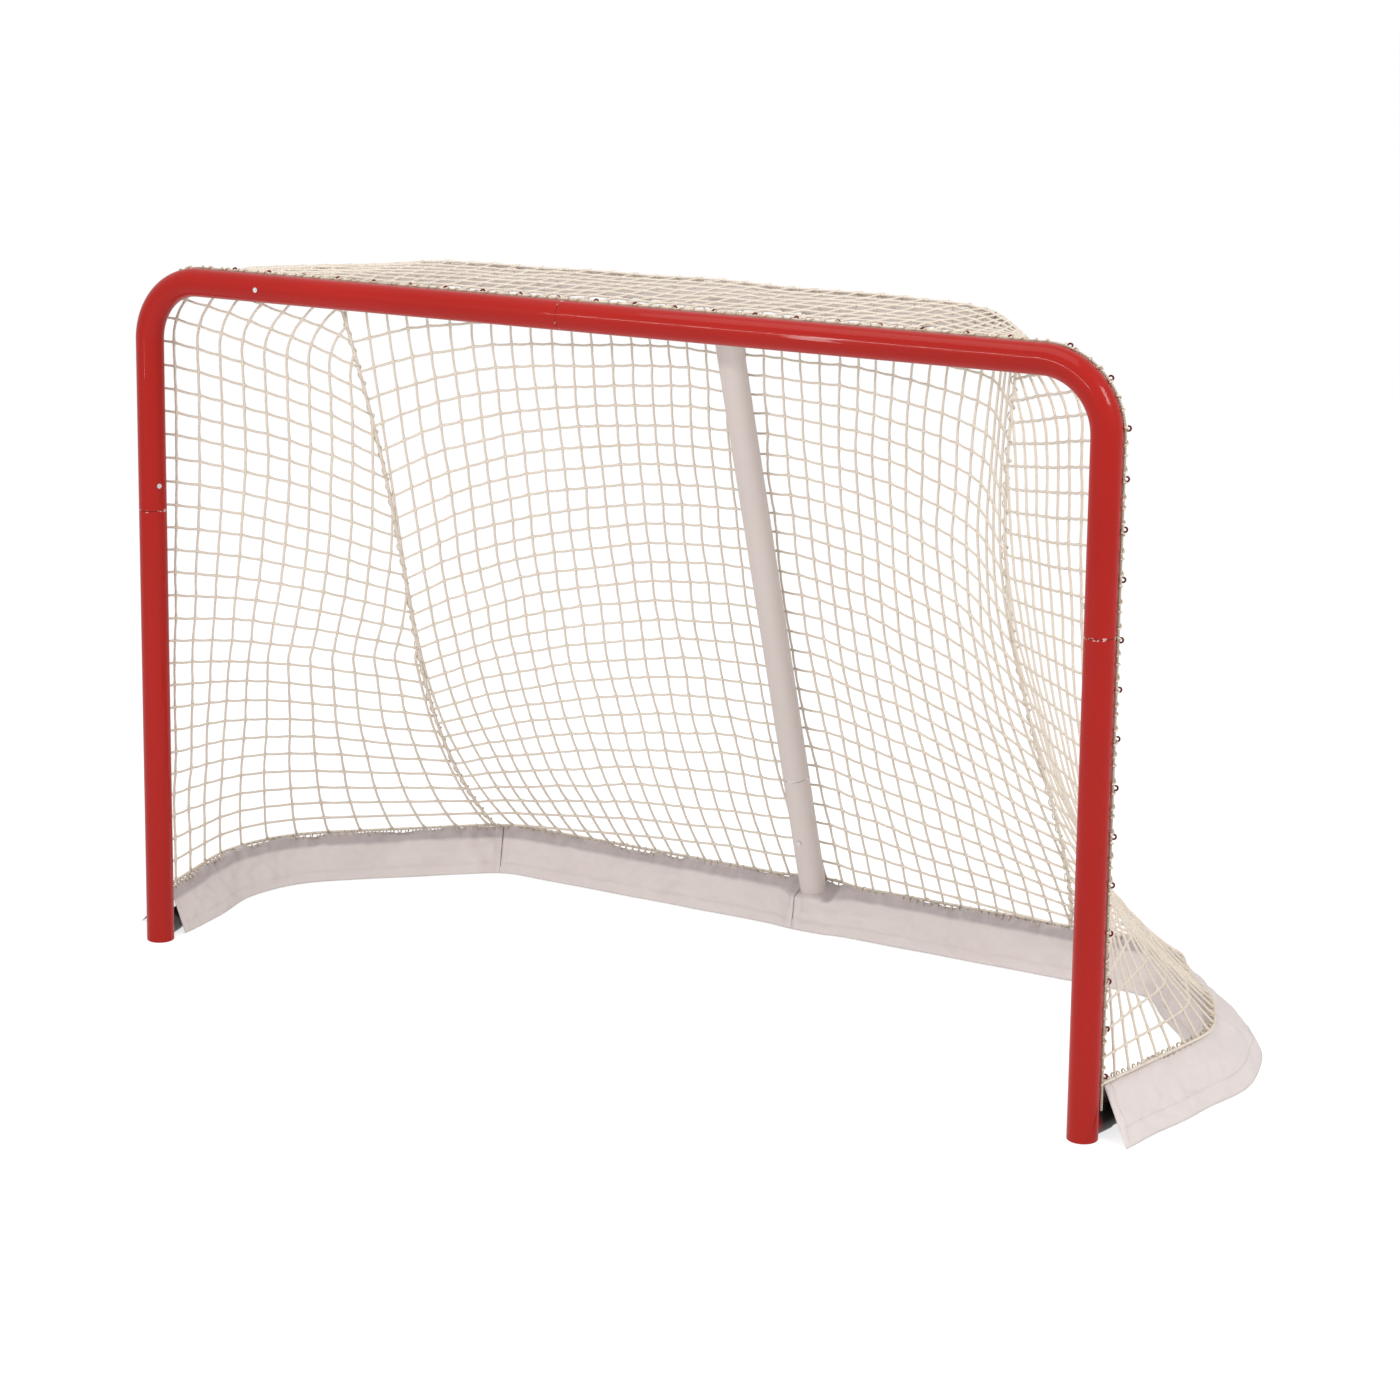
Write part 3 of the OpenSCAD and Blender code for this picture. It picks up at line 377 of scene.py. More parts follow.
def braided(light, soiled, grooveShade, pitch=0.0065):
    # Strands of the braid cross as two sets of slanted bands round and along the cord; the colour
    # darkens in the grooves between them as painted shade
    def build(at):
        where = place(at, "UV")
        turns = axis(where, "X") * (2 * np.pi * 3)  # three bands each way round the cord
        metres = axis(where, "Y") * (2 * np.pi / pitch)
        braid = at.math("MAXIMUM", at.math("SINE", turns + metres), at.math("SINE", turns - metres))
        soil, tone = grain(at, 9.0, 4.0, 0.6), grain(at, 900.0, 2.0)
        # Painted shade: darker colour in the grooves between the strands
        return {"Base Color": ((0.5 - braid * 0.5) * 0.3).mix(soil.mix(light, soiled), grooveShade),
                "Roughness": 0.82 + tone * 0.1, "Normal": bump(at, braid + tone * 0.4, 0.0003)}
    return build


twine = finish(
    "whiteTwine", braided(srgb(237, 227, 214), srgb(224, 211, 195), srgb(196, 178, 158)),
    Specular_IOR_Level=0.2, Sheen_Weight=0.05)
lacing = finish(
    "creamLacing", braided(srgb(236, 224, 206), srgb(216, 199, 176), srgb(170, 148, 126), 0.005),
    Specular_IOR_Level=0.2, Sheen_Weight=0.05)

# Lengths in metres; the band is where the cloth is gathered and painted darker as shade, over the width
# of the sheet
canvas = {"weave": 0.0014, "band": (0.095, 0.137), "bandStray": 0.012, "relief": 0.0005, "ply": 0.0012}


def wovenCloth(at):
    # Plain weave on the sheet's own metres, with slow soiling, scuffs and a fine nap
    where = place(at, "UV")
    x, y = axis(where, "X"), axis(where, "Y")
    turn = 2 * np.pi / canvas["weave"]
    weave = at.math("SINE", x * turn) * at.math("SINE", y * turn)
    soil, nap = grain(at, 7.0, 5.0, 0.6), grain(at, 60.0, 4.0, 0.6)
    scuff = grain(at, 30.0, 6.0, 0.7, (1, 1, 3))
    marks = at.math("MULTIPLY", at.math("SUBTRACT", scuff, 0.6, True), 3.0, True)
    tone = soil * 0.6 + nap * 0.4
    colour = (marks * 0.4).mix(tone.mix(srgb(216, 205, 202), srgb(230, 221, 218)), srgb(194, 183, 180))
    # The gathered band between ridge and fold, as a window with stray edges, painted darker as shade
    low, high = canvas["band"]
    stray = (grain(at, 14.0, 3.0, 0.5, None, "UV") - 0.5) * canvas["bandStray"]
    off = at.math("ABSOLUTE", y - (low + high) / 2 + stray)
    gatheredShade = at.math("SUBTRACT", 1.0, at.math("MULTIPLY", off, 2 / (high - low), True), True)
    gatheredShade = at.math("MULTIPLY", gatheredShade, 2.2, True)
    pleat, crease = grain(at, 45.0, 4.0, 0.6, (1, 0.12, 1), "UV"), grain(at, 16.0, 2.0, 0.4)
    # Painted shade: the band is darkened, more where the pleat noise is high
    colour = (gatheredShade * (pleat * 0.5 + 0.45)).mix(colour, srgb(170, 160, 161))
    height = weave * 0.25 + nap + gatheredShade * pleat * 3.0 + crease * 9.0
    return {"Base Color": colour, "Roughness": 0.72 + nap * 0.14,
            "Normal": bump(at, height, canvas["relief"])}


cloth = finish("whiteCloth", wovenCloth, Specular_IOR_Level=0.25, Sheen_Weight=0.08)


def spunThread(at):
    # Plied sewing thread: rings along its length
    ply = at.math("SINE", axis(place(at, "UV"), "Y") * (2 * np.pi / canvas["ply"]))
    tone = grain(at, 300.0)
    return {"Base Color": tone.mix(srgb(206, 196, 192), srgb(224, 216, 212)),
            "Roughness": 0.7 + tone * 0.1, "Normal": bump(at, ply, 0.0001)}


thread = finish("stitchThread", spunThread)

finishes = {
    "red_paint": redPaint, "hook_paint": hookPaint, "pale_paint": palePaint, "black_paint": blackPaint,
    "plated_steel": zinc, "net_twine": twine, "skirt_cloth": cloth,
}
for row in frame["record"]["subparts"]:
    paint = stubPaint if "base_socket" in row["node"] else finishes[row["material_slot"]]
    for opening in frame["nodes"][row["node"]].material_slots:
        opening.material = paint
print("frame painted:", len(frame["nodes"]), "nodes")

# In metres and degrees, twine as a radius. The fades are powers, and seamTop and topStart are measured
# along the shelf from its ends.
net = {
    "mesh": 0.041, "twine": 0.00225, "knot": 0.42, "knotRun": 0.003, "border": 1.25, "sides": 6,
    "stray": 0.0012, "droop": 0.0013, "rowDroop": 0.6, "edgeHold": 14, "steps": 4,
    "edgeTurn": 36, "edgeRoom": 0.0022, "footZ": 0.0864, "shelfWrap": 0.0299, "crestOut": 0.009,
    "crestUp": 0.0246, "rimUp": 0.0025, "seamFoot": {-1: 0.678, 1: 0.58}, "seamTop": 0.24,
    "seamSag": {-1: 0.07, 1: 0.09}, "seamSwell": 0.028, "sideSag": 0.015,
    "footFade": {-1: 2.8, 1: 7}, "topFade": 4, "pull": 0.028, "pullAt": 0.57, "pullRun": 0.18,
    "topStart": 0.085, "topX": 0.788, "topFold": 0.75, "sideTopX": 0.815,
}


def basePath(side):
    # The bend at each side is tangent to the widest line, and the rear corner slants to the rear bar
    flare, slant = np.radians(goal["flare"][side]), np.radians(goal["slant"][side])
    r, y = goal["baseRadii"][1], goal["baseDepth"]
    x = goal["baseHalfWidth"] - r * (1 - np.cos(flare)) + r * np.tan((flare + slant) / 2) * np.sin(flare)
    cornerY = (x - postX) / np.tan(flare)
    rearX = x - (y - cornerY) * np.tan(slant)
    return [(side * postX, 0), (side * x, cornerY), (side * rearX, y), (goal["skirtMeet"], y)]


def nearProp(d):
    # One at the centre post, falling to nought beside it
    return np.exp(-(d / goal["propBypass"]) ** 4)


# The net's edges: on the frame beside the hooks, round the shelf, and on the skirt
edgeTurn = np.radians(net["edgeTurn"])
edgeArm = goal["tube"] / 2 + net["twine"] * net["border"] + net["edgeRoom"]
edgeOut, edgeBack = edgeArm * np.sin(edgeTurn), edgeArm * np.cos(edgeTurn)


def framePath(side, out):
    # In the plane of the mouth, as (across, up): from the floor, round the corner to the middle
    x, z = side * (postX + out), barZ + out
    return pathLine([(x, 0), (x, z), (0, z)], [0, goal["cornerRadius"] + out, 0], 24)


frameEdge = {s: framePath(s, edgeOut) for s in (-1, 1)}
shelfLine = pathLine(goal["shelfCorners"], goal["shelfRadii"])
shelfEdge = movedPath(goal["shelfCorners"], goal["shelfRadii"], net["shelfWrap"])
shelfCrest = movedPath(goal["shelfCorners"], goal["shelfRadii"], net["crestOut"])
baseLine = {s: pathLine(basePath(s), goal["baseRadii"]) for s in (-1, 1)}
footEdge = {s: movedPath(basePath(s), goal["baseRadii"], -s * goal["ridgeOut"]) for s in (-1, 1)}
seamFootS = {s: footEdge[s][0][-1] - (net["seamFoot"][s] - s * goal["skirtMeet"]) for s in (-1, 1)}


def cornerPull(side, s):
    # The right net draws the skirt's top edge inwards round the bend
    bend = np.exp(-((s - net["pullAt"]) / net["pullRun"]) ** 4)
    return (net["pull"] if side > 0 else 0.0) * bend


def footPoint(side, s):
    # The net's foot: the skirt's top edge, s metres along it from the post, drawn inwards at the bend
    s = np.asarray(s, float)
    inward = leftOf(footEdge[side], s) * (side * cornerPull(side, s))[..., None]
    return flat(along(footEdge[side], s) + inward, net["footZ"])


def shelfTop(side, s):
    # The net's top: behind the shelf tube, s metres along it from its own side's end
    return flat(along(shelfEdge, s if side < 0 else shelfEdge[0][-1] - s), barZ)


def seamBow(side, v):
    # The slack sags forward most below the middle. The foot swells out, and the part above draws in.
    v = np.maximum(v, 0)
    swell = side * net["seamSwell"] * np.sin(2 * np.pi * v ** 0.75)
    sag = np.where(side < 0, net["seamSag"][-1], net["seamSag"][1])
    return swell, -sag * np.sin(np.pi * v ** 0.8)


def seamPoint(side, v, away=0.0):
    # The seam between a side net and the rear net, a straight line bowed by its slack
    foot = footPoint(side, seamFootS[side] - away)
    v = np.asarray(v, float)
    across, back = seamBow(side, v)
    bow = np.stack([across, back, np.zeros_like(v)], -1)
    return lerp(foot, shelfTop(side, net["seamTop"] - away), v[..., None]) + bow


def sideNetPoint(side, u, v):
    # The sheet between four edges: the straight sheet between two of them, drawn out to meet the
    # others. The pull of its foot and its top fades by a power of the distance.
    bend = np.pi / 2 * (goal["cornerRadius"] + edgeOut)
    run = bend + barZ - goal["cornerRadius"] + (postX - goal["cornerRadius"]) - net["sideTopX"]

    def front(t):
        q = along(frameEdge[side], lerp(net["footZ"], run, t))
        return np.stack([q[..., 0], np.full(q.shape[:-1], edgeBack), q[..., 1]], -1)

    def foot(t):
        return footPoint(side, lerp(edgeBack, seamFootS[side], t))

    def top(t):
        return shelfTop(side, lerp(edgeBack, net["seamTop"], t))

    u, v = np.broadcast_arrays(np.asarray(u, float), np.asarray(v, float))
    zero, one, uu, vv = np.zeros_like(u), np.ones_like(u), u[..., None], v[..., None]
    p = lerp(front(v), seamPoint(side, v, goal["gap"]), uu)
    p = p + (foot(u) - lerp(foot(zero), foot(one), uu)) * np.maximum(1 - vv, 0) ** net["footFade"][side]
    p = p + (top(u) - lerp(top(zero), top(one), uu)) * np.maximum(vv, 0) ** net["topFade"]
    return p - np.array([side * net["sideSag"], 0, 0]) * np.sin(np.pi * vv) * np.sin(np.pi * uu)


def backNetPoint(u, v):
    # Straight lines from the skirt to the shelf, bowed like the seams near them and flat in the middle
    u, v = np.broadcast_arrays(np.asarray(u, float), np.asarray(v, float))
    reach = {s: net["seamFoot"][s] - s * goal["skirtMeet"] - goal["gap"] for s in (-1, 1)}
    d = lerp(-reach[-1], reach[1], u)
    foot = np.where((d < 0)[..., None], along(footEdge[-1], footEdge[-1][0][-1] - abs(d)),
                    along(footEdge[1], footEdge[1][0][-1] - abs(d)))
    bypass = goal["propBypassOut"] - goal["ridgeOut"]
    bypass = bypass * nearProp(d + goal["skirtMeet"] - goal["propFoot"][0])
    foot = foot + np.stack([np.zeros_like(d), bypass], -1)
    end = net["seamTop"] + goal["gap"]
    top = along(shelfEdge, lerp(end, shelfEdge[0][-1] - end, u))
    near = abs(d) / np.where(d < 0, reach[-1], reach[1])
    side = np.where(d < 0, -1, 1)
    swell, sag = seamBow(side, v)
    bow = np.stack([swell * near, sag * (1 - np.cos(np.pi * near)) / 2, np.zeros_like(d)], -1)
    return lerp(flat(foot, net["footZ"]), flat(top, barZ), v[..., None]) + bow


def topNetPoint(u, v):
    # From the crossbar over the shelf tube's crest and down its far side
    u, v = np.broadcast_arrays(np.asarray(u, float), np.asarray(v, float))
    start = net["topStart"]
    x = lerp(-net["topX"], net["topX"], u)
    front = np.stack([x, np.full(x.shape, edgeBack), np.full(x.shape, barZ + edgeOut)], -1)
    crest = flat(along(shelfCrest, lerp(start, shelfCrest[0][-1] - start, u)), barZ + net["crestUp"])
    rim = flat(along(shelfEdge, lerp(start, shelfEdge[0][-1] - start, u)), barZ + net["rimUp"])
    fold, vv = net["topFold"], v[..., None]
    return np.where(vv < fold, lerp(front, crest, vv / fold), lerp(crest, rim, (vv - fold) / (1 - fold)))


def solved(count, target, other, findU):
    # Halves a range a little longer than the sheet to find where count(u, v) reaches target, along
    # u or along v
    before, span, halvings = 0.06, 1.12, 19
    low = np.full(np.broadcast(target, other).shape, -before)
    high = low + span
    for _ in range(halvings):
        mid = (low + high) / 2
        under = (count(mid, other) if findU else count(other, mid)) < target
        low, high = np.where(under, mid, low), np.where(under, high, mid)
    return (low + high) / 2


def runsInside(found):
    # The stretches of each line whose found coordinate is on the sheet, one sample longer at each end
    runs = []
    inside = (found >= 0) & (found <= 1)
    for line, row in enumerate(inside):
        turns = np.flatnonzero(np.diff(np.concatenate([[0], row.astype(int), [0]])))
        for a, b in turns.reshape(-1, 2):
            if b - a > 2:
                runs.append((line, max(a - 1, 0), min(b + 1, len(row))))
    return runs


def netPiece(name, node, spot, column, row, seed):
    # Two sets of twines over the sheet spot(u, v), where column(u, v) and row(u, v) count meshes. Each
    # twine strays a little, droops a little between its crossings, and swells at them into a knot.
    grid = np.linspace(0, 1, 41)
    corners = [f(*np.meshgrid(grid, grid)) for f in (column, row)]
    low = [int(np.floor(f.min())) for f in corners]
    most = [int(np.ceil(f.max())) - int(np.floor(f.min())) for f in corners]
    strays = [noise((most[1] + 3, most[0] + 3), seed + i, 1) * net["stray"] for i in range(3)]

    def strand(u, v, alongU):
        p = spot(u, v)
        e = 0.004  # a small step over the sheet
        du = unit(spot(np.clip(u + e, 0, 1), v) - spot(np.clip(u - e, 0, 1), v))
        dv = unit(spot(u, np.clip(v + e, 0, 1)) - spot(u, np.clip(v - e, 0, 1)))
        normal = unit(np.cross(du, dv))
        c, r = column(u, v) - low[0], row(u, v) - low[1]
        ci = np.clip(np.floor(c).astype(int), 0, most[0] + 1)
        ri = np.clip(np.floor(r).astype(int), 0, most[1] + 1)
        fc, fr = np.clip(c - ci, 0, 1), np.clip(r - ri, 0, 1)
        fc, fr = fc * fc * (3 - 2 * fc), fr * fr * (3 - 2 * fr)
        fromSides = np.clip(np.minimum(u, 1 - u) * net["edgeHold"], 0, 1)
        fromEnds = np.clip(np.minimum(v, 1 - v) * net["edgeHold"], 0, 1)
        hold = fromSides * fromEnds
        moves = [lerp(lerp(f[ri, ci], f[ri, ci + 1], fc), lerp(f[ri + 1, ci], f[ri + 1, ci + 1], fc), fr)
                 for f in strays]
        crossing = c if alongU else r
        slack = (1 - np.cos(2 * np.pi * crossing)) / 2 * net["droop"]
        down = 1 if alongU else 0
        moves[down] = moves[down] - slack * (1 if alongU else net["rowDroop"])
        p = p + sum(d * (m * hold)[..., None] for d, m in zip((du, dv, normal), moves))
        off = abs(crossing - np.round(crossing)) * net["mesh"]
        return p, net["twine"] * (1 + net["knot"] * np.exp(-(off / net["knotRun"]) ** 2)), normal

    shapes = []
    for alongU in (False, True):
        t = np.linspace(0, 1, (most[0] if alongU else most[1]) * net["steps"] + 1)
        which = low[1 if alongU else 0] + np.arange(most[1 if alongU else 0] + 1)
        count = row if alongU else column
        found = solved(count, which[:, None].astype(float), t[None], not alongU)
        runs = runsInside(found)
        longest = max(b - a for _, a, b in runs)
        at = np.array([np.minimum(a + np.arange(longest), b - 1) for _, a, b in runs])
        other = np.clip(found[np.array([line for line, _, _ in runs])[:, None], at], 0, 1)
        u, v = (t[at], other) if alongU else (other, t[at])
        p, radius, normal = strand(u, v, alongU)
        shapes.append(tubes(p, radius, np.array([b - a for _, a, b in runs]), net["sides"], normal))
    rim = np.linspace(0, 1, max(most) * net["steps"] + 1)
    for u, v in ((rim * 0, rim), (rim * 0 + 1, rim), (rim, rim * 0), (rim, rim * 0 + 1)):
        shapes.append(tubes(spot(u, v)[None], net["twine"] * net["border"], None, net["sides"]))
    piece = makePiece(name, joined(shapes), twine)
    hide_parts(node)
    print(name, most[0], "x", most[1], "meshes")


# How many meshes each net has, and how its columns and rows depart from a plain grid, in meshes
backMeshes = {"columns": 34, "topMore": 1.8, "topFan": 2.2, "lean": 4.6,
              "rows": 30, "footArch": 1.1, "arch": 13, "middleDrop": 1.6}
sideMeshes = {"rows": 29, "plumbBelow": {-1: 0.34, 1: 0.0}, "rowDrop": {-1: 1.7, 1: -0.4}}
topMeshes = {"columns": 39, "rows": 11}


def backColumn(u, v):
    # More columns fit across the top, and they lean with the left seam and run out along the right one
    b = backMeshes
    return b["columns"] * u + b["topMore"] * v + b["topFan"] * (2 * u - 1) * v + b["lean"] * v * (1 - v)


def backRow(u, v):
    # The rows arch: at the sides they hang lower than in the middle
    b = backMeshes
    arch = b["footArch"] * (1 - v) + b["arch"] * v * (1 - v)
    return b["rows"] * v + (2 * u - 1) ** 2 * arch - b["middleDrop"] * v * (1 - v)


def sideColumn(side):
    # Columns stand one mesh apart from the post, so the slanted seam cuts them off. The left net's go
    # straight down below a height, and so spread along the longer foot.
    grid = np.linspace(0, 1, 61)
    spots = sideNetPoint(side, grid[None], grid[:, None])
    across = np.linalg.norm(np.diff(spots, axis=1), axis=2).sum(1)
    plumb = sideMeshes["plumbBelow"][side]
    return lambda u, v: u * np.interp(np.maximum(v, plumb), grid, across) / net["mesh"]


def sideRow(side):
    # Rows drop towards the left seam and rise a little towards the right one
    drop = sideMeshes["rowDrop"][side]
    return lambda u, v: sideMeshes["rows"] * v + drop * u * u * (1 - (2 * v - 1) ** 4)


netPiece("backNet", "net_back", backNetPoint, backColumn, backRow, 11)
netPiece("leftNet", "net_left", lambda u, v: sideNetPoint(-1, u, v), sideColumn(-1), sideRow(-1), 21)
netPiece("rightNet", "net_right", lambda u, v: sideNetPoint(1, u, v), sideColumn(1), sideRow(1), 31)
netPiece("topNet", "net_top", topNetPoint, lambda u, v: topMeshes["columns"] * u,
         lambda u, v: topMeshes["rows"] * v, 41)

# arm is how far the cord runs from the middle of the frame tube
rope = {
    "strand": 0.0013, "lay": 0.00125, "arm": 0.0285, "pitch": 0.014, "ring": 0.0014, "ply": 3,
    "sides": 5,
}


def lacingRope():
    # Three strands laid round the line of the lacing cord
    turn = np.radians(goal["laceTurn"])
    out, back = rope["arm"] * np.sin(turn), rope["arm"] * np.cos(turn)
    x, z, bend = postX + out, barZ + out, goal["cornerRadius"] + out
    low, high = goal["laceEnds"]
    line = pathLine([(-x, low), (-x, z), (x, z), (x, high)], [0, bend, bend, 0], 24)
    s = np.arange(0, line[0][-1], rope["ring"])
    q = along(line, s)
    centre = np.stack([q[:, 0], np.full(len(s), back), q[:, 1]], -1)
    side = leftOf(line, s)
    across = np.stack([side[:, 0], np.zeros(len(s)), side[:, 1]], -1)
    deep = np.broadcast_to([0.0, 1.0, 0.0], across.shape)
    turns, lay = s / rope["pitch"], rope["lay"]
    strands = [wound(centre, across, deep, turns, lay, lay, 2 * np.pi * k / rope["ply"])
               for k in range(rope["ply"])]
    shape = tubes(np.stack(strands), rope["strand"], None, rope["sides"])
    piece = makePiece("lacingRope", shape, lacing)
    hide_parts("frame_lacing")


lacingRope()

# turns and arms give each tie's line round the frame tube, in degrees from straight back and metres
tie = {
    "twine": 0.0015, "spacing": 0.0205, "aboveFoot": 0.012, "fromMiddle": 0.01, "shift": 0.0018,
    "lean": 0.0022, "zigzag": 0.0035, "rings": 15, "turns": (24, 30, 36, 43, 52, 60, 66, 72, 77),
    "arms": (0.0274, 0.0322, 0.0350, 0.0342, 0.0330, 0.0327, 0.0315, 0.0289, 0.0273),
}


def frameTies():
    # Short ties hook the net's edge to the lacing rope. Each is an arc round the tube's middle, from
    # behind it towards its outside, and rises over the net's edge on its way.
    shapes = []
    knots = np.linspace(0, 1, len(tie["turns"]))
    t = np.linspace(0, 1, tie["rings"])
    angle, arm = np.radians(np.interp(t, knots, tie["turns"])), np.interp(t, knots, tie["arms"])
    for side in (-1, 1):
        line = framePath(side, 0.0)
        low = goal["laceEnds"][0 if side < 0 else 1]
        first, last = max(low, net["footZ"]) + tie["aboveFoot"], line[0][-1] - tie["fromMiddle"]
        s = np.arange(first, last, tie["spacing"])
        s = s + noise((len(s),), 50 + side, 0) * tie["shift"]
        sway = (np.arange(len(s)) % 2 * 2 - 1)[:, None]
        lean = noise((len(s),), 60 + side, 0)[:, None] * tie["lean"] + sway * tie["zigzag"]
        q = along(line, s[:, None] + lean * (t - 0.5)[None] * 2)
        out = leftOf(line, s) * -side
        out = np.where((out[:, 1:] < -0.01), -out, out)  # on the bar, outside is up
        wide = (arm * np.sin(angle))[None, :, None] * out[:, None]
        p = np.stack([q[..., 0] + wide[..., 0], np.broadcast_to(arm * np.cos(angle), q.shape[:2]),
                      q[..., 1] + wide[..., 1]], -1)
        shapes.append(tubes(p, tie["twine"]))
    makePiece("frameTies", joined(shapes), lacing)


frameTies()

# pitch is in meshes; wide and high are how far the cord stands from the line that it is wound round
lash = {"perTurn": 12, "wobble": 0.12}
seamCord = {"twine": 0.0012, "wide": 0.0054, "high": 0.004, "pitch": 0.8, "ends": (0.004, 0.985)}
shelfCord = {"twine": 0.0014, "room": 0.02, "besideProp": 0.045, "toNets": 0.0105, "perTurn": 24}
ridgeCord = {"twine": 0.0014, "wide": 0.0056, "high": 0.0058, "pitch": 0.36, "drop": 0.0035}


def wholeLengths(line):
    # How far each point of a line is along it
    return np.concatenate([[0], np.cumsum(np.linalg.norm(np.diff(line, axis=0), axis=1))])


def lashing(line, across, up, cord, seed):
    # A cord wound round a line of points, one turn each pitch
    step, pitch = wholeLengths(line), net["mesh"] * cord["pitch"]
    s = np.linspace(0, step[-1], int(step[-1] / pitch * lash["perTurn"]))
    pick = [np.stack([np.interp(s, step, a[:, k]) for k in range(3)], -1) for a in (line, across, up)]
    wobble = 1 + noise((len(s),), seed, 6) * lash["wobble"]
    wide, high = cord["wide"] * wobble, cord["high"] * wobble
    p = wound(pick[0], unit(pick[1]), unit(pick[2]), s / pitch, wide, high)
    return tubes(p[None], cord["twine"])


def seamLacing():
    # Turns that join the side nets to the rear net
    shapes = []
    for side, seed in ((-1, 6), (1, 5)):
        line = seamPoint(side, np.linspace(*seamCord["ends"], 160))
        ahead = unit(np.gradient(line, axis=0))
        up = unit(np.cross(ahead, np.broadcast_to([1.0, 0.0, 0.0], ahead.shape)))
        shapes.append(lashing(line, np.cross(ahead, up), up, seamCord, seed))
    makePiece("seamLacing", joined(shapes), twine)


seamLacing()


def shelfLacing():
    # Turns round the shelf tube that also catch the nets' edges behind it, clear of the centre post
    shapes = []
    clear = goal["shelfTube"] / 2 + goal["gap"] + shelfCord["twine"]
    middle = shelfLine[0][-1] / 2 + goal["propTop"][0]
    room, beside = goal["shelfSocket"] + shelfCord["room"], shelfCord["besideProp"]
    for first, last in ((room, middle - beside), (middle + beside, shelfLine[0][-1] - room)):
        s = np.linspace(first, last, int((last - first) / net["mesh"] * shelfCord["perTurn"]))
        a = 2 * np.pi * s / net["mesh"]
        reach = clear + shelfCord["toNets"] * np.maximum(np.cos(a), 0) ** 2
        q = along(shelfLine, s) + leftOf(shelfLine, s) * (np.cos(a) * reach)[:, None]
        shapes.append(tubes(flat(q, barZ + np.sin(a) * reach)[None], shelfCord["twine"]))
    makePiece("shelfLacing", joined(shapes), lacing)


shelfLacing()

# across gives where the outer hem, the ridge, the fold and the inner hem lie over a panel's width
skirt = {
    "cloth": 0.0012, "hemOut": 0.08, "hemIn": 0.05, "foldZ": 0.064, "foldIn": 0.012, "wave": 0.003,
    "waveLength": 0.17, "seamX": 0.66, "seamGap": 0.0007, "flapStart": 0.043, "ridgeStart": 0.05,
    "hemStart": {-1: 0.084, 1: 0.008}, "tuckRun": 0.15, "tuckIn": 0.018, "foldRoom": 0.024,
    "hemRoom": 0.007, "hemStep": 0.0007, "hemEdges": (0.15, 0.87), "across": (0, 0.46, 0.62, 1.0),
    "crumple": 0.0017, "sweep": 1.5, "pleat": 0.0026, "pleatAt": 0.55, "pleatRun": 0.075,
    "billow": 0.012, "lowest": 0.0008, "cell": 0.005, "down": 56,
    "cornerUp": 0.006, "cornerAt": 0.058, "cornerRun": 0.011,
    "hollowDown": 0.013, "hollowAt": 0.036, "hollowRun": 0.009, "dentAt": 0.53, "dentRun": 0.09,
}
stitch = {
    "long": 0.0032, "gap": 0.0022, "radius": 0.0005, "lift": 0.0003, "rows": (0.13, 0.885),
    "fromEnd": 0.012, "first": 0.006, "last": 0.008,
}
skirtSeam = {s: baseLine[s][0][-1] - (skirt["seamX"] - s * goal["skirtMeet"]) for s in (-1, 1)}


def stitches(line):
    # Short tubes along a line on the cloth, with gaps between them
    run = wholeLengths(line)
    begin = np.arange(stitch["first"], run[-1] - stitch["last"], stitch["long"] + stitch["gap"])
    at = begin[:, None] + np.linspace(0, stitch["long"], 3)
    points = np.stack([np.interp(at, run, line[:, k]) for k in range(3)], -1)
    return tubes(points, stitch["radius"], None, 4)


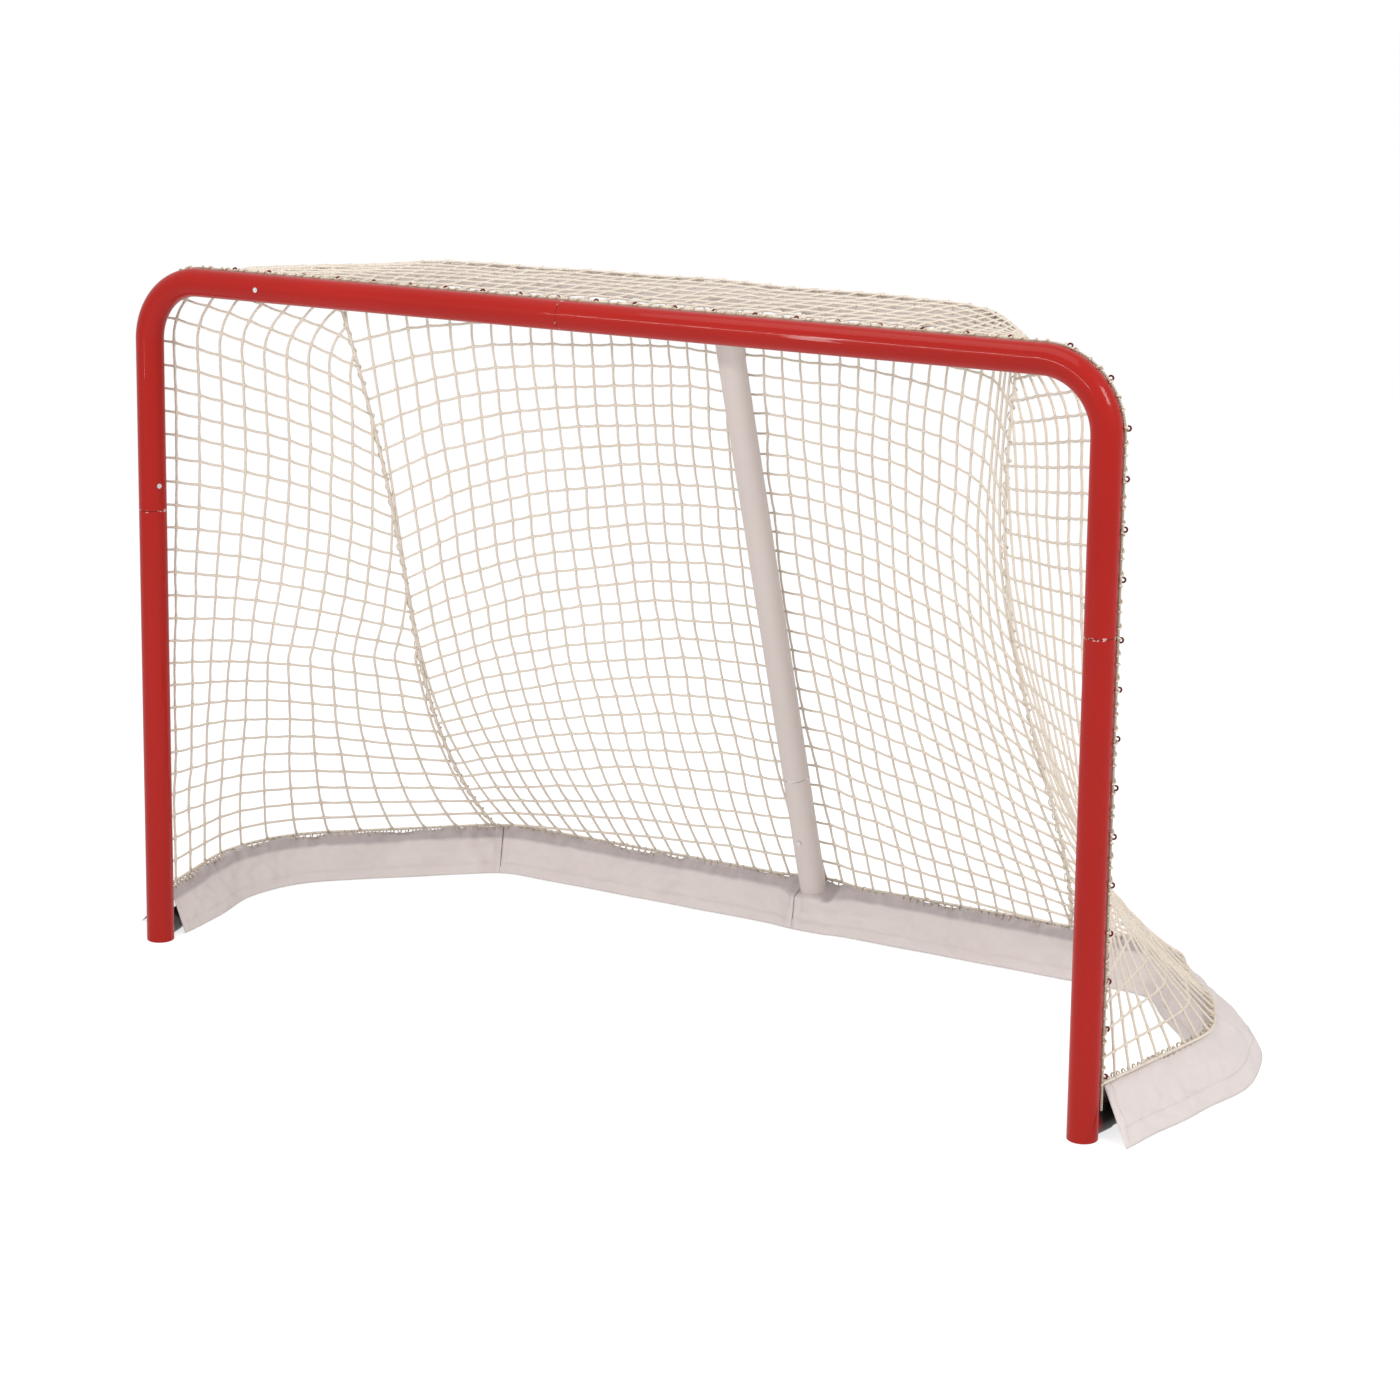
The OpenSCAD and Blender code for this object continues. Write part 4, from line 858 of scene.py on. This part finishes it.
def skirtPanel(name, node, side, start, end, seed):
    # A strip of cloth carried along the base. Across it, straight runs join outer hem, ridge, fold and
    # inner hem, with crumples all over and pleats in the gathered band between ridge and fold.
    count, down = int((end - start) / skirt["cell"]), skirt["down"]
    s, t = np.linspace(0, 1, count)[:, None], np.linspace(0, 1, down)[None]
    sAt = lerp(start, end, s)
    atPost = start == 0
    tuck = np.maximum(1 - sAt / skirt["tuckRun"], 0) ** 1.7 if atPost else 0
    byProp = nearProp(baseLine[side][0][-1] - sAt - side * (goal["propFoot"][0] - goal["skirtMeet"]))
    wave = skirt["wave"] * (1 - np.cos(2 * np.pi * sAt / skirt["waveLength"])) / 2
    thin, pull = skirt["cloth"], cornerPull(side, sAt)
    plain = skirt["hemIn"] - skirt["tuckIn"] * tuck - wave * 0.4
    inner = lerp(plain, skirt["hemIn"] + skirt["hemRoom"], byProp)
    fold = lerp(skirt["foldIn"], goal["propRadius"] + skirt["foldRoom"], byProp)
    ridge = lerp(goal["ridgeOut"], goal["propBypassOut"], byProp)
    outs = [skirt["hemOut"] - wave - thin - pull * 0.5, ridge - thin - pull, -fold + 2 * thin - pull,
            -inner + 2 * thin - pull * 0.5]
    highs = [thin, goal["skirtHeight"] - 2 * thin, skirt["foldZ"] - thin, thin]
    starts = [skirt["hemStart"][side], skirt["ridgeStart"], skirt["flapStart"], skirt["flapStart"]]
    knots = skirt["across"]

    def across(values):
        # The profile's straight runs from one knot to the next
        total = 0
        for k in range(3):
            share = np.clip((t - knots[k]) / (knots[k + 1] - knots[k]), 0, 1)
            total = total + (values[k + 1] - values[k]) * share
        return values[0] + total

    o, z = across(outs), across(highs) + 0 * s
    sGrid = lerp(across(starts) if atPost else start, end, s) + 0 * t
    centre = along(baseLine[side], sGrid)
    mid = flat(centre + leftOf(baseLine[side], sGrid) * (-side * o)[..., None], z)
    normal = unit(np.cross(unit(np.gradient(mid, axis=0)), unit(np.gradient(mid, axis=1)))) * side
    hold = np.clip(np.minimum(t, 1 - t) * 10, 0, 1) * np.clip(np.minimum(s, 1 - s) * count / 4, 0, 1)
    band = np.exp(-((t - skirt["pleatAt"]) / skirt["pleatRun"]) ** 2)
    rough = noise((count, down), seed, 7) * skirt["crumple"]
    pleats = noise((count, down), seed + 1, (2, 40)) * skirt["pleat"] * band
    sweep = noise((count, down), seed + 2, (30, 26)) * skirt["crumple"] * skirt["sweep"]
    outerHem, innerHem = skirt["hemEdges"]
    doubled = np.clip((outerHem - t) * 40, 0, 1) + np.clip((t - innerHem) * 40, 0, 1)
    hem = skirt["hemStep"] * doubled
    billow = skirt["billow"] * pull / net["pull"] * np.sin(np.pi * np.clip(t / knots[1], 0, 1))
    # Beside the centre post the cloth sinks into a hollow, and past it the corner stands up
    beside = mid[..., 0] - goal["propFoot"][0]
    corner = skirt["cornerUp"] * np.exp(-((beside - skirt["cornerAt"]) / skirt["cornerRun"]) ** 2)
    hollow = skirt["hollowDown"] * np.exp(-((beside - skirt["hollowAt"]) / skirt["hollowRun"]) ** 2)
    dent = (corner - hollow) * np.exp(-((t - skirt["dentAt"]) / skirt["dentRun"]) ** 2)
    mid = mid + normal * ((rough + pleats + sweep) * hold + hem + billow + dent)[..., None]
    mid[..., 2] = np.maximum(mid[..., 2], skirt["lowest"])
    top, under = mid + normal * thin / 2, mid - normal * thin / 2
    index = np.arange(count * down).reshape(count, down)
    quads = np.stack([index[:-1, :-1], index[:-1, 1:], index[1:, 1:], index[1:, :-1]], -1).reshape(-1, 4)
    rim = np.concatenate([index[0, :], index[1:, -1], index[-1, -2::-1], index[-2:0:-1, 0]])
    after = np.roll(rim, -1)
    edge = np.stack([after, rim, rim + count * down, after + count * down], -1)
    flip = slice(None, None, -1) if side > 0 else slice(None)
    quads, edge = quads[:, flip], edge[:, flip]
    wide = float(np.linalg.norm(np.diff(mid, axis=1), axis=2).sum(1).mean())
    longest = float(np.linalg.norm(np.diff(mid, axis=0), axis=2).sum(0).mean())
    uv = np.stack([s * longest + 0 * t, t * wide + 0 * s], -1).reshape(-1, 2)
    shape = (np.concatenate([top.reshape(-1, 3), under.reshape(-1, 3)]),
             [np.concatenate([quads, quads[:, ::-1] + count * down, edge])], np.concatenate([uv, uv]))
    piece = makePiece(name, shape, cloth)
    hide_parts(node)

    # Stitches run along both hems and beside the panel's ends, lying on the outer face
    face = top + normal * stitch["lift"]
    ends = int(stitch["fromEnd"] / skirt["cell"]) + 1
    rows = [face[:, int(share * down)] for share in stitch["rows"]] + [face[ends], face[-ends - 1]]
    sewn = makePiece(name + "Stitches", joined([stitches(line) for line in rows]), thread)
    print(name, "cut", round(wide, 3), "x", round(longest, 3))


gap = skirt["seamGap"]
skirtPanel("leftSkirt", "skirt_left", -1, 0, skirtSeam[-1] - gap, 3)
skirtPanel("rightSkirt", "skirt_right", 1, 0, skirtSeam[1] - gap, 13)
skirtPanel("leftRearSkirt", "skirt_back_left", -1, skirtSeam[-1] + gap, baseLine[-1][0][-1] - gap, 23)
skirtPanel("rightRearSkirt", "skirt_back_right", 1, skirtSeam[1] + gap, baseLine[1][0][-1] - gap, 33)


def skirtLacing():
    # Turns through the skirt's top edge and over the foot of the net
    shapes = []
    for side, seed in ((-1, 7), (1, 6)):
        s = np.linspace(skirt["ridgeStart"] + 0.01, baseLine[side][0][-1] - 0.004, 400)
        byProp = nearProp(baseLine[side][0][-1] - s - side * (goal["propFoot"][0] - goal["skirtMeet"]))
        out = leftOf(baseLine[side], s) * -side
        ridge = lerp(goal["ridgeOut"], goal["propBypassOut"], byProp)
        line = flat(along(baseLine[side], s) + out * (ridge - cornerPull(side, s))[:, None],
                    goal["skirtHeight"] - ridgeCord["drop"])
        across = flat(out, 0.0)
        up = np.broadcast_to([0.0, 0.0, 1.0], across.shape)
        shapes.append(lashing(line, across, up, ridgeCord, seed))
    makePiece("skirtLacing", joined(shapes), lacing)


skirtLacing()

# place, aim and size in metres, power in watts
lamps = {
    "keyLamp": {"place": (-0.6, -4.0, 2.1), "aim": (0, 0, 0.9), "size": (3.4, 0.14), "power": 48},
    "stripLamp": {"place": (-1.5, -4.0, 1.5), "aim": (0, 0, 0.9), "size": (0.12, 2.0), "power": 15},
    "topLamp": {"place": (0.0, -1.0, 4.2), "aim": (0, 0.1, 1.0), "size": (3.4, 2.2), "power": 46},
    "rightLamp": {"place": (3.9, -0.9, 3.2), "aim": (1.0, 0.1, 0.2), "size": (1.2, 1.2), "power": 76},
}


def lamp(name, place, aim, size, power):
    # A rectangular lamp at a place, turned so that its back is away from what it aims at
    light = bpy.data.lights.new(name, "AREA")
    light.shape, light.energy = "RECTANGLE", power
    light.size, light.size_y = size
    holder = bpy.data.objects.new(name, light)
    back = unit(np.array(place, float) - np.array(aim, float))
    right = unit(np.cross([0, 0, 1], back))
    turned = np.eye(4)
    turned[:3, :3] = np.stack([right, np.cross(back, right), back], 1)
    turned[:3, 3] = place
    holder.matrix_world = Matrix(turned.tolist())
    bpy.context.scene.collection.objects.link(holder)


for lampName, values in lamps.items():
    lamp(lampName, **values)

# sky is the light that the world gives, share how much of the floor's own glow is seen directly
studio = {"floor": 0.9, "sky": 0.56, "share": 0.55, "floorSize": 40.0, "floorDrop": 0.0004}


def seenDirectly(at):
    # One for rays from the camera and for mirrored or passed ones, nought for scattered light
    rays = [at.node("ShaderNodeLightPath", {}, {}, kind)
            for kind in ("Is Camera Ray", "Is Glossy Ray", "Is Transmission Ray")]
    return at.math("MAXIMUM", rays[0], at.math("MAXIMUM", rays[1], rays[2]))


world = bpy.data.worlds.new("studioWorld")
bpy.context.scene.world = world
world.use_nodes = True
world.node_tree.nodes.clear()
at = Socket(world.node_tree)
strength = seenDirectly(at) * (1 - studio["sky"]) + studio["sky"]
sky = at.node("ShaderNodeBackground", {}, {"Strength": strength, "Color": (1, 1, 1, 1)})
at.node("ShaderNodeOutputWorld", {}, {"Surface": sky})

floorMesh = bpy.data.meshes.new("floor")
corners = np.array([[-1, -1, 0], [1, -1, 0], [1, 1, 0], [-1, 1, 0]]) * studio["floorSize"]
corners = corners - [0, 0, studio["floorDrop"]]
floorMesh.from_pydata(corners.tolist(), [], [(0, 1, 2, 3)])
floorMaterial = bpy.data.materials.new("paleFloor")
floorMaterial.use_nodes = True
floorMaterial.node_tree.nodes.clear()
at = Socket(floorMaterial.node_tree)
# Far from the lamps the floor's own glow brings it up to the white of the background
glow = (1 - (1 - studio["share"]) * studio["floor"] * studio["sky"]) / studio["share"]
plain = at.node("ShaderNodeBsdfDiffuse", {}, {"Color": (*(studio["floor"],) * 3, 1)})
lift = at.node("ShaderNodeEmission", {}, {"Color": (1, 1, 1, 1), "Strength": glow})
shown = at.node("ShaderNodeMixShader", {}, {0: seenDirectly(at) * studio["share"], 1: plain, 2: lift})
at.node("ShaderNodeOutputMaterial", {}, {"Surface": shown})
floorMesh.materials.append(floorMaterial)
floor = bpy.data.objects.new("floor", floorMesh)
bpy.context.scene.collection.objects.link(floor)

# The camera's place is from the goal line
view = {
    "place": (2.93204, -4.62674, 1.95863), "right": (0.86145111, 0.50768869, 0.01241681),
    "up": (-0.10354689, 0.15165776, 0.98299439), "back": (0.49717202, -0.84808733, 0.18321533),
    "lens": 85.151, "shiftY": -0.142857,
}
camera = bpy.data.cameras.new("camera")
camera.sensor_fit, camera.sensor_width, camera.lens = "AUTO", 36, view["lens"]
camera.shift_y = view["shiftY"]
camera.clip_end = 200
holder = bpy.data.objects.new("camera", camera)
turned = np.eye(4)
turned[:3, :3] = np.stack([view["right"], view["up"], view["back"]], 1)
turned[:3, 3] = np.array(view["place"]) - [0, goal["middleY"], 0]
holder.matrix_world = Matrix(turned.tolist())
bpy.context.scene.collection.objects.link(holder)
bpy.context.scene.camera = holder
bpy.context.scene.view_settings.view_transform = "Standard"
print("studio, floor and camera made")
